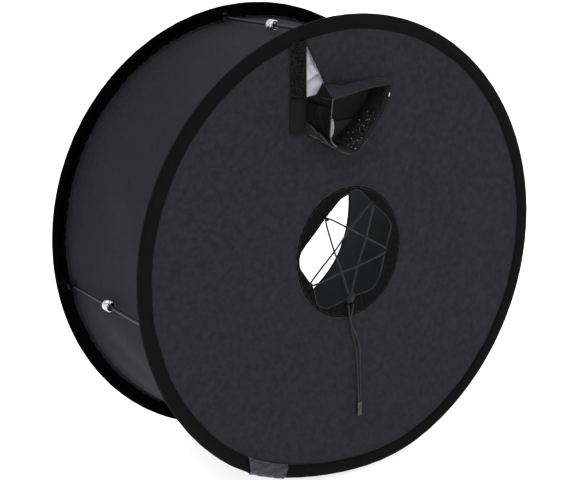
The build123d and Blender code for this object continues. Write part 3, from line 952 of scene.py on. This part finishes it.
def panel_relief(x, z):
    """Change of Y over the rear panel: faint waves, a swell by the hood's base and puckers by the collar."""
    rise = 0.45 * MM * cloud(x, z, 70 * MM, 1) + 0.12 * MM * cloud(x, z, 18 * MM, 2)
    edge = np.clip((PANEL_R - 4 * MM - np.hypot(x, z - HOOP_Z)) / (30 * MM), 0, 1)
    at_port = distance_to_line(spots(x, z), np.vstack([BASE_LINE, BASE_LINE[:1]]))
    swell = -0.6 * MM * bell(at_port, 6 * MM)
    reach, turn = np.hypot(x, z), np.arctan2(z, x)
    gathers = 0.22 * MM * ripple(turn, 20, 48, 5) * np.exp(-np.clip(reach - COLLAR_R, 0, None) / (12 * MM))
    return rise * edge + swell + gathers


def distance_to_line(points, line):
    """Distance from each point to an open line in the plane."""
    best = np.full(len(points), np.inf)
    for a, b in zip(line, line[1:]):
        along = b - a
        share = np.clip(((points - a) @ along) / (along @ along), 0, 1)
        best = np.minimum(best, np.linalg.norm(points - a - share[:, None] * along, axis=1))
    return best


def make_panels(f):
    """The rear panel and its silver lining, and the white diffuser in front."""
    spacing = 4 * MM
    edge = circle(PANEL_R - 1 * MM, 420, (0, HOOP_Z))
    collar = circle(COLLAR_R + 1 * MM, 200) * (COLLAR_NARROW, 1) + (COLLAR_SHIFT, 0)
    holes = [collar, panel_opening()]

    def rear_relief(x, z):
        return PANEL_Y + panel_relief(x, z)

    def lining_relief(x, z):
        return PANEL_BACK_Y + 0.05 * MM + panel_relief(x, z) + 0.15 * MM * np.abs(cloud(x, z, 9 * MM, 4))

    def front_relief(x, z):
        reach, turn = np.hypot(x, z - HOOP_Z), np.arctan2(z - HOOP_Z, x)
        share = np.clip((reach - OPENING_R) / (PANEL_R - OPENING_R), 0, 1)
        puckers = 0.5 * MM * ripple(turn, 30, 70, 11) * (np.exp(-share * 14) + np.exp(-(1 - share) * 12))
        bulge = 2.2 * MM * np.sin(math.pi * share)
        return DIFFUSER_Y + bulge + puckers * share * (1 - share) * 6 + 0.3 * MM * cloud(x, z, 60 * MM, 3)

    rear = flat_sheet("rear_panel_cloth", edge, holes, spacing, rear_relief, f["panel"],
                      PANEL_BACK_Y - PANEL_Y)
    on_body(settle(rear), "root", "rear_panel", slot="panel_cloth")
    lining = flat_sheet("rear_lining_cloth", edge, holes, spacing, lining_relief, f["silver"],
                        LINING_Y - PANEL_BACK_Y)
    on_body(settle(lining), "root", "rear_lining", slot="silver_cloth")
    opening = circle(OPENING_R + 1.5 * MM, 320, (0, HOOP_Z))
    front = flat_sheet("front_diffuser_cloth", edge, [opening], spacing, front_relief, f["diffuser"],
                       0.8 * MM)
    on_body(settle(front), "front_frame", "front_diffuser", slot="diffuser_cloth")


def wall_rows(reach_change):
    """Points of the waisted wall, a row for each turn: sewn under both rims, with folds and a seam."""
    turn = np.linspace(0, TAU, WALL_STEPS, endpoint=False)[:, None]
    share = np.concatenate([[0, 0, 0], np.linspace(0, 1, 46), [1, 1, 1]])[None, :]
    y = WALL_END + (DEPTH - 2 * WALL_END) * share
    reach = 213.2 * MM - 3.5 * MM * (1 - (2 * share - 1) ** 2)
    tucked = np.array([8.3, 4.5, 1.8] + [0] * 46 + [1.8, 4.5, 8.3])[None, :] * MM
    ends = np.exp(-share * 11) + np.exp(-(1 - share) * 11)
    folds = 0.22 * MM * ripple(turn, 60, 120, 21) * ends * np.clip(12 * share * (1 - share), 0, 1)
    slow = 0.9 * MM * ripple(turn + 0.5 * share, 5, 17, 22) * np.sin(math.pi * share)
    ply = 0.5 * MM * ledge((turn - 1.5 * math.pi) * HOOP_R, 6 * MM)
    reach = reach + tucked + folds + slow + ply + reach_change
    return spots(reach * np.cos(turn), y, HOOP_Z + reach * np.sin(turn))


def make_walls(f):
    """The side wall, its silver lining, and the two rows of stitches along the wall's seam."""
    rows = wall_rows(0.0)
    wall = thicken(grid("side_wall_cloth", rows, f["wall"], wrap_rows=True), 0.8 * MM)
    lining = grid("side_wall_lining_cloth", wall_rows(-1.0 * MM)[:, 4:-4], f["silver"], wrap_rows=True)
    thicken(lining, 0.4 * MM)
    on_body(settle(wall), "root", "side_wall", slot="panel_cloth")
    on_body(settle(lining), "root", "side_wall_lining", slot="silver_cloth")
    stitches = []
    for side in (-1, 1):
        turn = 1.5 * math.pi + side * 4.5 * MM / HOOP_R
        row = rows[int(round(turn / TAU * WALL_STEPS)) % WALL_STEPS, 6:-6]
        stitches.append(stitched(f"seam_{side + 1}", row, (math.cos(turn), 0, math.sin(turn)), f["thread"]))
    seam = settle(joined("side_wall_stitches", stitches))
    on_body(seam, "root")
    for made in (wall, lining, seam):
        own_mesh(made)


def pull(turn):
    """How far the front opening's edge is pulled towards the axis, at its lower right only."""
    away = (turn - PULL_AT + math.pi) % TAU - math.pi
    return PULL * bell(away, PULL_HALF)


def make_tunnel(f):
    """The black cone between the collar and the front opening, with soft lengthwise folds and a seam."""
    low, high = 4.6 * MM, DEPTH - 4.4 * MM
    rear_r, front_r = 66.0 * MM, 130.4 * MM
    turn = np.linspace(0, TAU, 360, endpoint=False)[:, None]
    share = np.linspace(0, 1, 70)[None, :]
    slack = np.sin(math.pi * share) ** 0.8
    folds = 0.9 * MM * ripple(turn, 5, 14, 31) * slack
    folds = folds + 0.35 * MM * ripple(turn, 26, 60, 32) * np.exp(-6 * (1 - share))
    seam = 0.5 * MM * ledge((turn - 0.75 * math.pi) * 100 * MM, 5 * MM)
    reach = rear_r + (front_r - rear_r) * share + folds - seam - pull(turn) * share ** 5
    x = reach * np.cos(turn)
    x = x * share + (x * COLLAR_NARROW + COLLAR_SHIFT) * (1 - share)
    rows = spots(x, low + (high - low) * share, HOOP_Z * share + reach * np.sin(turn))
    tunnel = thicken(grid("lens_tunnel_cloth", rows, f["black"], wrap_rows=True), 0.8 * MM)
    on_body(tunnel, "root", "lens_tunnel", slot="tunnel_cloth")
    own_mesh(tunnel)


def hem_section(inner, outer, low, high, cloth):
    """A tape folded round an edge that faces the axis: open towards larger radius."""
    middle, half, halfway = (low + high) / 2, (high - low) / 2, (inner + outer) / 2
    bend = np.linspace(-math.pi / 2, math.pi / 2, 11)
    nose = spots(inner + half - half * np.cos(bend), middle + half * np.sin(bend))
    ends = (outer, low + 0.5 * half), (outer, high - 0.5 * half)
    line = np.vstack([ends[0], (halfway, low), nose, (halfway, high), ends[1]])
    return folded(resampled(line, 30), -cloth)


def make_hems(f):
    """The tapes round the collar's edge and the front opening's edge, with their stitches; a light row along the
    collar hem's nose is a painted highlight.
    """
    low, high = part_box("lens_collar_hem")

    def puckers(turn, section):
        outer = np.clip((section[:, :, 0] - COLLAR_R - 1 * MM) / (4 * MM), 0, 1)
        side = np.sign(section[:, :, 1] - (low.y + high.y) / 2)
        size = 0.12 * MM * outer
        return size * ripple(turn, 30, 70, 41), size * side * ripple(turn, 60, 110, 42)

    section = hem_section(COLLAR_R, COLLAR_R + 5 * MM, low.y + 0.5 * MM, high.y, 0.6 * MM)
    hidden = section[:, 0] > COLLAR_R + 1.6 * MM
    section[hidden, 1] = np.maximum(section[hidden, 1], PANEL_BACK_Y + 1.4 * MM)
    collar = turned("lens_collar_tape", section, f["rear_tape"], 360, centre=(0, 0, 0), wobble=puckers)
    on_body(narrowed(collar), "root", "lens_collar_hem", slot="rim_tape")
    # The first row stitches the panel's edge; the second, in light thread along the hem's nose, is a painted
    # highlight along that edge.
    places = ((COLLAR_R + 2.4 * MM, PANEL_Y - 0.1 * MM), (COLLAR_R + 0.2 * MM, low.y + 0.6 * MM))
    for number, (reach, y) in enumerate(places):
        row = stitch_circle(f"lens_collar_stitches_{number + 1}", reach, y, -1, f["light_thread"],
                            centre=(0, 0, 0), pitch=2.2 * MM, radius=0.2 * MM)
        on_body(narrowed(row), "root")
    low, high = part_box("front_opening_hem")
    width = 5.5 * MM

    def pulled_in(turn, section):
        inner = np.clip((OPENING_R + width - section[:, :, 0]) / width, 0, 1)
        return -pull(turn) * inner, 0.0

    section = hem_section(OPENING_R, OPENING_R + width, low.y, high.y, 0.7 * MM)
    front = turned("front_hem_tape", section, f["black"], 540, wobble=pulled_in)
    on_body(front, "front_frame", "front_opening_hem", slot="tunnel_cloth")
    row = stitch_circle("front_hem_stitches", OPENING_R + 4.0 * MM, high.y - 0.1 * MM, 1, f["thread"])
    on_body(row, "front_frame")


# ------------------------------------------------------------------ lens collar


def free_edge(turn):
    """Radius of the collar band's free edge, which runs nearly straight between its points."""
    line = resampled([on_collar(r, a) for r, a in FREE_EDGE], 600, closed=True)
    for _ in range(40):
        line = smoothed(line)
    return np.interp(turn, np.arctan2(line[:, 1], line[:, 0]), np.hypot(line[:, 0], line[:, 1]), period=TAU)


def make_collar(f):
    """The soft band gathered inside the collar, its corded edge, and the rings that the lace runs through."""
    low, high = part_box("lens_collar_band")
    outer_x, outer_z = (circle(COLLAR_R + 1.5 * MM, 540) * (COLLAR_NARROW, 1) + (COLLAR_SHIFT, 0)).T
    turn = np.arctan2(outer_z, outer_x)[:, None]
    share = np.linspace(0, 1, 16)
    reach = free_edge(turn) * (1 - share) + np.hypot(outer_x, outer_z)[:, None] * share
    gathers = 0.55 * MM * ripple(turn, 34, 64, 51) * (np.sin(math.pi * share * 0.9 + 0.1) * (1 - 0.6 * share))
    y = (low.y + high.y) / 2 + gathers + 0.3 * MM * np.sin(math.pi * share)
    rows = spots(reach * np.cos(turn), y, reach * np.sin(turn))
    band = grid("lens_collar_cloth", rows, f["soft_black"], wrap_rows=True)
    on_body(thicken(band, high.y - low.y, 0.0), "root", "lens_collar_band", slot="tunnel_cloth")
    edge = np.vstack([rows[:, 0], rows[:1, 0]])
    cord = tube("lens_collar_edge", edge, 0.5 * MM, f["edge_cord"], sides=8, caps=False)
    on_body(cord, "root", slot="elastic_cord")

    ring_r, wire_r = 2.6 * MM, 0.65 * MM
    bend = np.linspace(0.25, TAU - 0.25, 40)[:, None]
    rise = np.array([0, 1, 0])
    rings = []
    for r, angle in LACES[1:]:
        x, z = on_collar(r, angle)
        spoke = np.array([math.cos(math.radians(angle)), 0, math.sin(math.radians(angle))])
        line = np.array([x, 0.4 * MM, z]) + ring_r * (np.cos(bend) * spoke + np.sin(bend) * rise)
        rings.append(tube(f"ring_{len(rings)}", line, wire_r, f["wire"], sides=12))
    on_body(joined("lace_wire_rings", rings), "root", "lace_rings", slot="pin_steel")


# ------------------------------------------------------------------ flash port


def hood_base(loop):
    """Y where the hood's cloth meets the panel; over the open slot it is tucked further in."""
    number = loop[:, 4]
    over_slot = np.clip((2.6 - number) / 0.8, 0, 1) + np.clip((number - (len(HOOD) - 0.4)) / 0.4, 0, 1)
    return PANEL_Y + panel_relief(loop[:, 2], loop[:, 3]) + 0.4 * MM + 3.2 * MM * np.clip(over_slot, 0, 1)


def hood_points(loop, share):
    """Points of the hood's outside: a row for each of the loop's points, from the panel at 0 to the mouth at 1."""
    share = np.asarray(share)[None, :, None]
    base = spots(loop[:, 2], hood_base(loop), loop[:, 3])[:, None, :]
    mouth = spots(loop[:, 0], lift(loop[:, 0]), loop[:, 1])[:, None, :]
    return base * (1 - share) + mouth * share


def hood_normals(rows):
    """Unit normals of rows of the hood, away from the port's middle."""
    normals = unit(np.cross(np.gradient(rows, axis=0), np.gradient(rows, axis=1)))
    outward = (normals * (rows - rows.mean(axis=(0, 1)))).sum()
    return normals if outward > 0 else -normals


def hood_run(first, last):
    """The stretch of the hood's loop between two corner numbers."""
    number = HOOD_LOOP[:, 4]
    kept = HOOD_LOOP[(number >= first) & (number <= last)]
    if last > len(HOOD):
        kept = np.vstack([kept, HOOD_LOOP[number <= last - len(HOOD)]])
    return kept


def hood_cloth(name, first, last, material, seed, size, level=0.0):
    """One panel of the hood, from the base to its rolled edge at the mouth, with soft creases."""
    loop, cloth = hood_run(first, last), 0.9 * MM
    share = np.linspace(0, 1, 44)
    rows = hood_points(loop, share)
    normals = hood_directions(loop, share)
    flat = rows.reshape(-1, 3)
    creases = np.array([noise.turbulence(Vector(p) * 75 + Vector((seed, 0, 0)), 3, True) for p in flat])
    slow = np.array([noise.noise(Vector(p) * 38 + Vector((0, seed, 0))) for p in flat])
    bump = ((0.9 - creases) * 0.55 + slow * 0.9 + level).reshape(rows.shape[:2])
    fade = np.sin(math.pi * np.clip(share * 0.92 + 0.04, 0, 1)) ** 0.6
    rows = rows + normals * (size * bump * fade)[:, :, None]
    nose = rows[:, -1] - normals[:, -1] * cloth / 2 + (rows[:, -1] - rows[:, -2]) * 0.3
    inner = (rows - normals * cloth)[:, ::-1]
    rows = np.concatenate([rows, nose[:, None], inner], axis=1)
    return grid(name, rows, material, wrap_columns=True, caps=True)


def hood_directions(loop, share):
    """Normals for a stretch of the hood, worked out on the whole hood so that its panels meet."""
    rows = hood_points(HOOD_LOOP, share)
    wide = np.concatenate([rows[-3:], rows, rows[:3]], axis=0)
    whole = hood_normals(wide)[3:-3]
    place = {round(float(n), 9): i for i, n in enumerate(HOOD_LOOP[:, 4])}
    return whole[[place[round(float(n), 9)] for n in loop[:, 4]]]


def liner_points(loop, offset, shares):
    """Points of the hood's inside, from the mouth at 0 to its inner end at 1, and the directions into the
    port. offset is into the port at the mouth."""
    number = HOOD_LOOP[:, 4]
    pick = [int(np.argmin(np.abs(number - n))) for n in loop[:, 4]]
    inward = -side_normals(HOOD_LOOP[:, :2], True)[pick]
    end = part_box("port_hood")[1].y
    depth = offset + (2.6 * MM) * np.clip(shares * 2.2, 0, 1)
    flat = loop[:, None, :2] + inward[:, None, :] * depth[None, :, None]
    y = lift(loop[:, 0])[:, None] * (1 - shares) + end * shares
    return spots(flat[:, :, 0], y, flat[:, :, 1]), inward


def make_port(f):
    """The flash port: a cloth hood sewn round its opening, with its lining, loop pile, strap and leaves."""
    hood_end = len(HOOD) + 0.02
    gusset = hood_cloth("port_gusset_nylon", 2.5, NYLON_END, f["nylon"], 3.0, 1.7 * MM, level=-1.1)
    facet = hood_cloth("port_gusset_facet", 0.0, 2.5, f["soft_black"], 4.0, 0.5 * MM)
    on_body(joined("port_gusset_nylon", [gusset, facet]), "root", "port_gusset", slot="nylon_cloth")
    side = hood_cloth("port_hood_cloth", NYLON_END, TOP_START, f["hood"], 5.0, 0.45 * MM)
    on_body(side, "root", "port_hood", slot="panel_cloth")
    top = hood_cloth("port_hood_top", TOP_START, hood_end, f["panel"], 8.0, 0.4 * MM)
    on_body(top, "root", slot="panel_cloth")

    shares = np.linspace(0, 1, 26)
    rows, _ = liner_points(HOOD_LOOP, 0.7 * MM, shares)
    rows[:, :, 2] += 0.5 * MM * np.sin(HOOD_LOOP[:, 4:] * 2.3 + 6 * shares) * np.sin(math.pi * shares)
    # The liner's cloth is painted lighter, as painted light in the port's recess.
    liner = grid("port_liner_cloth", rows, f["hood"], wrap_rows=True)
    on_body(thicken(liner, 0.7 * MM, 0.0), "root")

    rims = []
    stretches = ((0.0, NYLON_END, "nylon"), (NYLON_END, TOP_START, "webbing"), (TOP_START, hood_end, "panel"))
    for first, last, look in stretches:
        loop = hood_run(first, last)
        line = spots(loop[:, 0], lift(loop[:, 0]) - 0.1 * MM, loop[:, 1])
        rims.append(tube(f"rim_{look}", line, 0.75 * MM, f[look], sides=10))
    on_body(joined("port_mouth_binding", rims), "root")
    make_silver_edge(f)
    make_pile(f)
    make_strap(f)
    make_leaves(f)


def make_silver_edge(f):
    """The sliver of silver lining that shows along the mouth's left edge."""
    loop = hood_run(3.6, 5.2)
    line = hood_points(loop, [1.0])[:, 0]
    inward = -hood_directions(loop, np.array([0.9, 1.0]))[:, 1]
    width = (0.5 + 3.2 * np.sin(math.pi * np.linspace(0.06, 0.97, len(line))) ** 0.7) * MM
    across = np.linspace(0, 1, 7)
    rows = line[:, None] + inward[:, None] * (width[:, None] * across)[:, :, None]
    rows[:, :, 1] -= 0.9 * MM + 0.5 * MM * np.sin(math.pi * across)
    rows[:, :, 1] -= 0.15 * MM * np.sin(np.arange(len(line)) * 1.3)[:, None]
    sliver = grid("port_silver_edge", rows, f["silver_edge"])
    on_body(thicken(sliver, 0.5 * MM, 0.0), "root", slot="silver_cloth")


def make_pile(f):
    """Loop pile inside the hood's bottom and right, where the strap's hooks and the flash are held; white specks
    on it and a white tube on the mouth's rim are painted glints.
    """
    loop = hood_run(8.6, 14.9)
    shares = np.linspace(0.04, 0.94, 40)
    rows, inward = liner_points(loop, 1.5 * MM, shares)
    inward = spots(inward[:, 0], 0, inward[:, 1])
    base = thicken(grid("pile_base", rows, f["pile"]), 0.5 * MM, 0.0)
    pick = np.random.default_rng(91)
    count, sides = 4400, 4
    chosen = pick.integers(0, len(loop), count), pick.integers(0, len(shares), count)
    spin, height = pick.uniform(0, TAU, count), pick.uniform(0.6, 1.5, count) * MM
    bend = np.linspace(0, math.pi, 6)
    points, faces = [], []
    for i, j, turn, tall in zip(*chosen, spin, height):
        place = rows[i, j] + pick.uniform(-0.7, 0.7, 3) * MM
        normal = inward[i]
        along = np.cross(normal, (0, 1, 0)) * math.cos(turn) + np.array([0, 1, 0]) * math.sin(turn)
        across = np.cross(normal, along)
        faces += tube_faces(len(points), len(bend), sides)
        for angle in bend:
            middle = place + along * 0.6 * MM * math.cos(angle) + normal * tall * math.sin(angle)
            outward = along * math.cos(angle) + normal * math.sin(angle)
            for a in TAU * np.arange(sides) / sides:
                points.append(middle + 0.11 * MM * (math.cos(a) * outward + math.sin(a) * across))
    loops = mesh_object("pile_loops", points, faces, f["pile_loop"])
    # White specks on the pile: painted glints, short white tubes that stand for sparkles of light.
    ends = []
    for i, j in zip(pick.integers(0, len(loop) * 3 // 5, 42), pick.integers(0, 26, 42)):
        place = rows[i, j] + inward[i] * 1.1 * MM
        line = [place, place + pick.normal(0, 0.5, 3) * MM]
        ends.append(tube("end", line, pick.uniform(0.14, 0.3) * MM, f["painted_glint_white"], sides=6))
    on_body(joined("port_loop_pile", [loops, base] + ends), "root", "port_loop_band", slot="loop_pile")
    # A painted highlight: a short white tube along the mouth's right rim stands for a glint of light there.
    line = hood_points(hood_run(12.95, 13.4), [1.0])[:, 0] - (0, 0.9 * MM, 0)
    glint_tack = tube("port_painted_glint_tack", line, 0.5 * MM, f["painted_glint_white"], sides=8)
    on_body(glint_tack, "root")


# Along the strap's middle: the hood's corner number, and the share of the way from the panel to the mouth.
STRAP_ROUTE = (
    (4.55, -0.12), (4.6, 0.0), (4.85, 0.3), (5.3, 0.56), (6.0, 0.7),
    (7.0, 0.74), (8.0, 0.74), (9.0, 0.70), (10.0, 0.72), (10.4, 0.76),
)


def make_strap(f):
    """The webbing strap, from the strap end by the slot over the hood's outside and round under its mouth."""
    route = resampled(STRAP_ROUTE, 120)
    number = HOOD_LOOP[:, 4]

    def spot(n, share):
        loop = np.array([[np.interp(n, number, HOOD_LOOP[:, k]) for k in range(4)] + [n]])
        return hood_points(loop, [share])[0, 0]

    middle = np.array([spot(n, share) for n, share in route])
    beside = np.array([spot(n + 0.02, share) for n, share in route]) - middle
    above = np.array([spot(n, share + 0.02) for n, share in route]) - middle
    normals = unit(np.cross(beside, above))
    if normals[60] @ np.array([0, 0, -1]) < 0:
        normals = -normals
    for _ in range(12):
        for line in (normals, middle):
            line[1:-1] = smoothed(line)[1:-1]
    normals = unit(normals)
    across = unit(np.cross(normals, directions(middle)))
    half, cloth = 5.0 * MM, 1.0 * MM
    places = np.linspace(-1, 1, 13)
    height = 1.25 * MM + 0.15 * MM * np.sin(np.linspace(0, 22, 120))[:, None]
    outer = middle[:, None] + across[:, None] * (places * half)[None, :, None] + (normals * height)[:, None]
    inner = (outer - normals[:, None] * cloth)[:, ::-1]
    rows = np.concatenate([outer, inner], axis=1)
    web = grid("port_strap_web", rows, f["strap"], wrap_columns=True, caps=True)
    on_body(web, "root", "port_strap", slot="hook_tape")
    rows = []
    for side in (-0.8, 0.8):
        line = middle + across * (side * half) + normals * (height + 0.05 * MM)
        row = stitched(f"strap_row_{side}", line, normals, f["pale_thread"], pitch=2.2 * MM, radius=0.26 * MM)
        rows.append(row)
    on_body(joined("port_strap_stitches", rows), "root")


def make_leaves(f):
    """Two cloth leaves that close the port's inner end, the lower lapped over the upper."""
    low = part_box("port_inner_leaves")[0].y
    ring = liner_points(HOOD_LOOP, 0.9 * MM, np.array([0.0, 1.0]))[0][:, 1][:, (0, 2)]
    lap = 126.5 * MM + HOOP_Z
    leaves = []
    # One leaf in the hood cloth and one in the lighter leaf cloth, both painted lighter as painted light deep in
    # the port.
    for side, look in ((1, "hood"), (-1, "leaf")):
        edge = resampled(clipped(ring, lap, side, -3 * MM), 90, closed=True)

        def relief(u, v, side=side):
            return low + side * 0.9 * MM + 0.9 * MM * np.sin(u * 105 + side) * bell(v - lap, 9 * MM)

        leaves.append(flat_sheet(f"leaf_{side + 1}", edge, [], 3 * MM, relief, f[look], 0.7 * MM))
    on_body(joined("port_leaves_cloth", leaves), "root", "port_inner_leaves", slot="tunnel_cloth")


def clipped(loop, level, side, gap):
    """The part of a closed outline above or below a level, less a gap, closed along that level."""
    return loop[run_of((loop[:, 1] - level) * side > gap)]


def rounded_plate(name, low, high, radius, material, relief):
    """A flat piece of cloth or tape across Y with rounded corners, whose Y changes by relief(x, z)."""
    corners = [(low[0], low[2]), (high[0], low[2]), (high[0], high[2]), (low[0], high[2])]
    outline = rounded(corners, radius, 1.5 * MM)
    return flat_sheet(name, outline, [], 2.2 * MM, lambda x, z: low[1] + relief(x, z), material,
                      high[1] - low[1])


def bristles(name, low, high, pitch, material):
    """Rows of small hooks on a flat strip, pointing out towards low Y."""
    bend = np.array([(0, 0), (0.0, 0.55), (0.12, 0.9), (0.38, 1.02), (0.58, 0.82)]) * MM
    size = np.array([0.16, 0.14, 0.12, 0.11, 0.06]) * MM
    points, faces, sides = [], [], 4
    pick = np.random.default_rng(81)
    for row, z in enumerate(np.arange(low[2] + 1.2 * MM, high[2] - 1.0 * MM, pitch)):
        for x in np.arange(low[0] + (1.8 + 0.5 * (row % 2)) * MM, high[0] - 1.8 * MM, pitch):
            facing = pick.choice((-1, 1))
            z, x = z + pick.normal(0, 0.12) * MM, x + pick.normal(0, 0.2) * MM
            faces += tube_faces(len(points), len(bend), sides)
            for (out, rise), r in zip(bend, size):
                for a in TAU * np.arange(sides) / sides:
                    points.append((x + r * math.cos(a), low[1] - rise, z + facing * out + r * math.sin(a)))
            faces.append(tuple(range(len(points) - sides, len(points))))
    return mesh_object(name, points, faces, material)


def border(low, high, inset, y):
    """A closed line just inside a rectangle's edge."""
    a, b, c, d = low[0] + inset, high[0] - inset, low[2] + inset, high[2] - inset
    return resampled([(a, y, c), (b, y, c), (b, y, d), (a, y, d)], 200, closed=True)


def make_fastening(f):
    """The hook strip on the panel and the strap's free end on it."""
    low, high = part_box("port_hook_strip")
    margin = Vector((0, 0.1 * MM, 0))
    tape = rounded_plate("hook_strip_tape", low - margin, high + margin, 1.0 * MM, f["hooks"],
                         lambda x, z: 0.15 * MM * cloud(x, z, 25 * MM, 8))
    hooks_from = (low.x, low.y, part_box("port_strap_end")[1].z + 0.5 * MM)
    hooks = bristles("hooks", hooks_from, high, 1.35 * MM, f["hooks"])
    edge = stitched("hook_strip_stitches", border(low, high, 1.1 * MM, low.y - 0.05 * MM), (0, -1, 0),
                    f["tape_thread"], closed=True)
    on_body(joined("hook_strip", [tape, hooks]), "root", "port_hook_strip", slot="hook_tape")
    on_body(edge, "root")

    low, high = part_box("port_strap_end")

    def sway(x, z):
        return 0.25 * MM * np.sin((z - low.z) * 110) * np.sin((x - low.x) * 90) + 0.1 * MM

    tab = rounded_plate("strap_end_web", low, high, 2.2 * MM, f["webbing"], sway)
    on_body(tab, "strap_end", "port_strap_end", slot="hook_tape")
    row = stitched("strap_end_stitches", border(low, high, 1.8 * MM, low.y + 0.05 * MM), (0, -1, 0),
                   f["tape_thread"], closed=True, radius=0.16 * MM)
    on_body(row, "strap_end")


def make_silver_fold(f):
    """The fold of silver lining behind the open slot, and the stitches beside the slot."""
    left, bottom, width, height = -57 * MM, 157.2 * MM + HOOP_Z, 31 * MM, 51.8 * MM
    u, v = np.linspace(0, 1, 46)[:, None], np.linspace(0, 1, 68)[None, :]
    bowl = np.clip(np.sin(math.pi * u), 0, 1) ** 0.6 * np.clip(np.sin(math.pi * v), 0, 1) ** 0.5
    crease = (v - 0.36 - 0.25 * (u - 0.5)) * height
    y = 4.1 * MM + 4.2 * MM * bowl - 2.6 * MM * bowl * np.exp(-np.abs(crease) / (2.6 * MM))
    y = y + 0.7 * MM * bowl * np.sin(34 * u * v + 3 * v) * u + 0.5 * MM * bowl * np.sin(21 * v - 7 * u)
    fold = grid("silver_fold_cloth", spots(left + width * u, y, bottom + height * v), f["silver_fold"])
    on_body(thicken(fold, 0.4 * MM, 1.0), "root", "port_silver_fold", slot="silver_cloth")
    row = stitched("slot_stitches", slot_row(), (0, -1, 0), f["tape_thread"], pitch=2.2 * MM,
                   radius=0.16 * MM)
    on_body(row, "root")


def slot_row():
    """A line beside the slot's long edges, on the panel."""
    (top,), (right,) = from_hoop([SLOT_TOP]), from_hoop([SLOT_RIGHT])
    corners = [(top[0] - 1.5 * MM, right[1] - 6 * MM), (top[0] - 1.5 * MM, top[1] + 1.5 * MM),
               (top[0] + 1 * MM, top[1] + 1.5 * MM), (right[0] + 1.5 * MM, right[1] + 1 * MM)]
    x, z = resampled(corners, 120).T
    return spots(x, PANEL_Y + panel_relief(x, z) - 0.05 * MM, z)


# ------------------------------------------------------------------ struts


def make_sleeve(number, f):
    """A knurled nickel sleeve: round in front, and open along one side behind, for the rear rod."""
    low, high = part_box(f"strut_sleeve_{number}")
    middle = (low + high) / 2
    angle = math.atan2(middle.z - HOOP_Z, middle.x)
    radial = np.array([math.cos(angle), 0, math.sin(angle)])
    around = np.array([-math.sin(angle), 0, math.cos(angle)])
    axis = np.array([0.0, 1.0, 0.0])
    place = CENTRE + 218 * MM * radial + middle.y * axis
    half, reach, socket, floor = 0.8 * (high.y - low.y) / 2, 5.1 * MM, 2.0 * MM, 1.8 * MM
    cup = -half + 3.8 * MM
    groove_y = 0.2 * MM

    def outside(turn, y):
        """The sleeve's outline at a place along it: chamfered ends and a groove between two knurled bands."""
        end = max(0.0, 1.0 * MM - (half - abs(y)))
        groove = 0.45 * MM * bell(y - groove_y, 0.5 * MM)
        depth = 0.3 * MM * np.clip((half - 1.2 * MM - abs(y)) / (0.5 * MM), 0, 1)
        depth = depth * (abs(y - groove_y) > 0.9 * MM)
        knurl = depth * (1 - np.abs(np.sin(14 * turn + y * 1500) * np.sin(14 * turn - y * 1500)) ** 0.5)
        return arc(reach - 0.9 * end - groove - knurl, turn)

    def arc(size, turn):
        return spots(size * np.cos(turn), size * np.sin(turn))

    def world(flat, y):
        return place + flat[:, :1] * radial + flat[:, 1:] * around + y * axis

    def open_turns(start, count):
        return np.linspace(-math.pi / 2 + start, 1.5 * math.pi - start, count)

    def cut_open(y, bore, gap):
        """The sleeve's section at a place where it is bored out and open on one side."""
        outer = outside(open_turns(math.asin(gap / reach), 168), y)
        inner = arc(bore, open_turns(math.asin(min(1.0, gap / bore)), 41)[::-1])
        return world(np.vstack([outer, inner]), y)

    rows = [cut_open(y, 4.1 * MM, 2.9 * MM) for y in (-half, -half + 0.3 * MM)]
    rows += [cut_open(y, 3.8 * MM, 2.9 * MM) for y in np.linspace(-half + 0.7 * MM, cup, 12)]
    rows += [cut_open(y, socket, socket) for y in np.linspace(cup, floor, 12)]
    open_end = grid("open_end", rows, f["nickel"], wrap_columns=True, caps=True)
    levels = ((3.72, -half + 0.9 * MM), (3.72, cup - 0.1 * MM), (2.1, cup - 0.15 * MM))
    rows = [world(arc(size * MM, open_turns(0.95, 41)[::-1]), y) for size, y in levels]
    bore = grid("bore", rows, f["plastic"])
    full_turn = TAU * np.arange(192) / 192
    levels = [*np.linspace(floor, half - 0.7 * MM, 12), half - 0.3 * MM, half]
    rows = [world(outside(full_turn, y), y) for y in levels]
    round_end = grid("round_end", rows, f["nickel"], wrap_columns=True, caps=True)
    made = joined(f"strut_sleeve_knurled_{number}", [open_end, round_end, bore])
    return on_body(made, f"front_rod_{number}", f"strut_sleeve_{number}", slot="sleeve_metal")


def paint_frame_parts(f):
    """Materials for the parts that stay as they are in the frame."""
    for name, node in frame["nodes"].items():
        for part, look in (("rod_", "rod"), ("bracket_", "plastic"), ("pivot_pins", "steel")):
            if part in name:
                node.data.materials.clear()
                node.data.materials.append(f[look])


# ------------------------------------------------------------------ the whole


def build():
    make_camera()
    f = make_finishes()
    make_laces(f)
    make_studio()
    make_rim(f, "rear", False, f["rear_tape"], f["tape_thread"], "root", 61)
    # The front rim's tape is painted darker, as painted shade.
    make_rim(f, "front", True, f["front_tape_painted_shade"], f["dark_thread"], "front_frame", 71)
    make_patch(f)
    make_hems(f)
    make_panels(f)
    make_walls(f)
    make_tunnel(f)
    make_collar(f)
    make_port(f)
    make_fastening(f)
    make_silver_fold(f)
    for number in range(1, 5):
        make_sleeve(number, f)
    paint_frame_parts(f)


build()
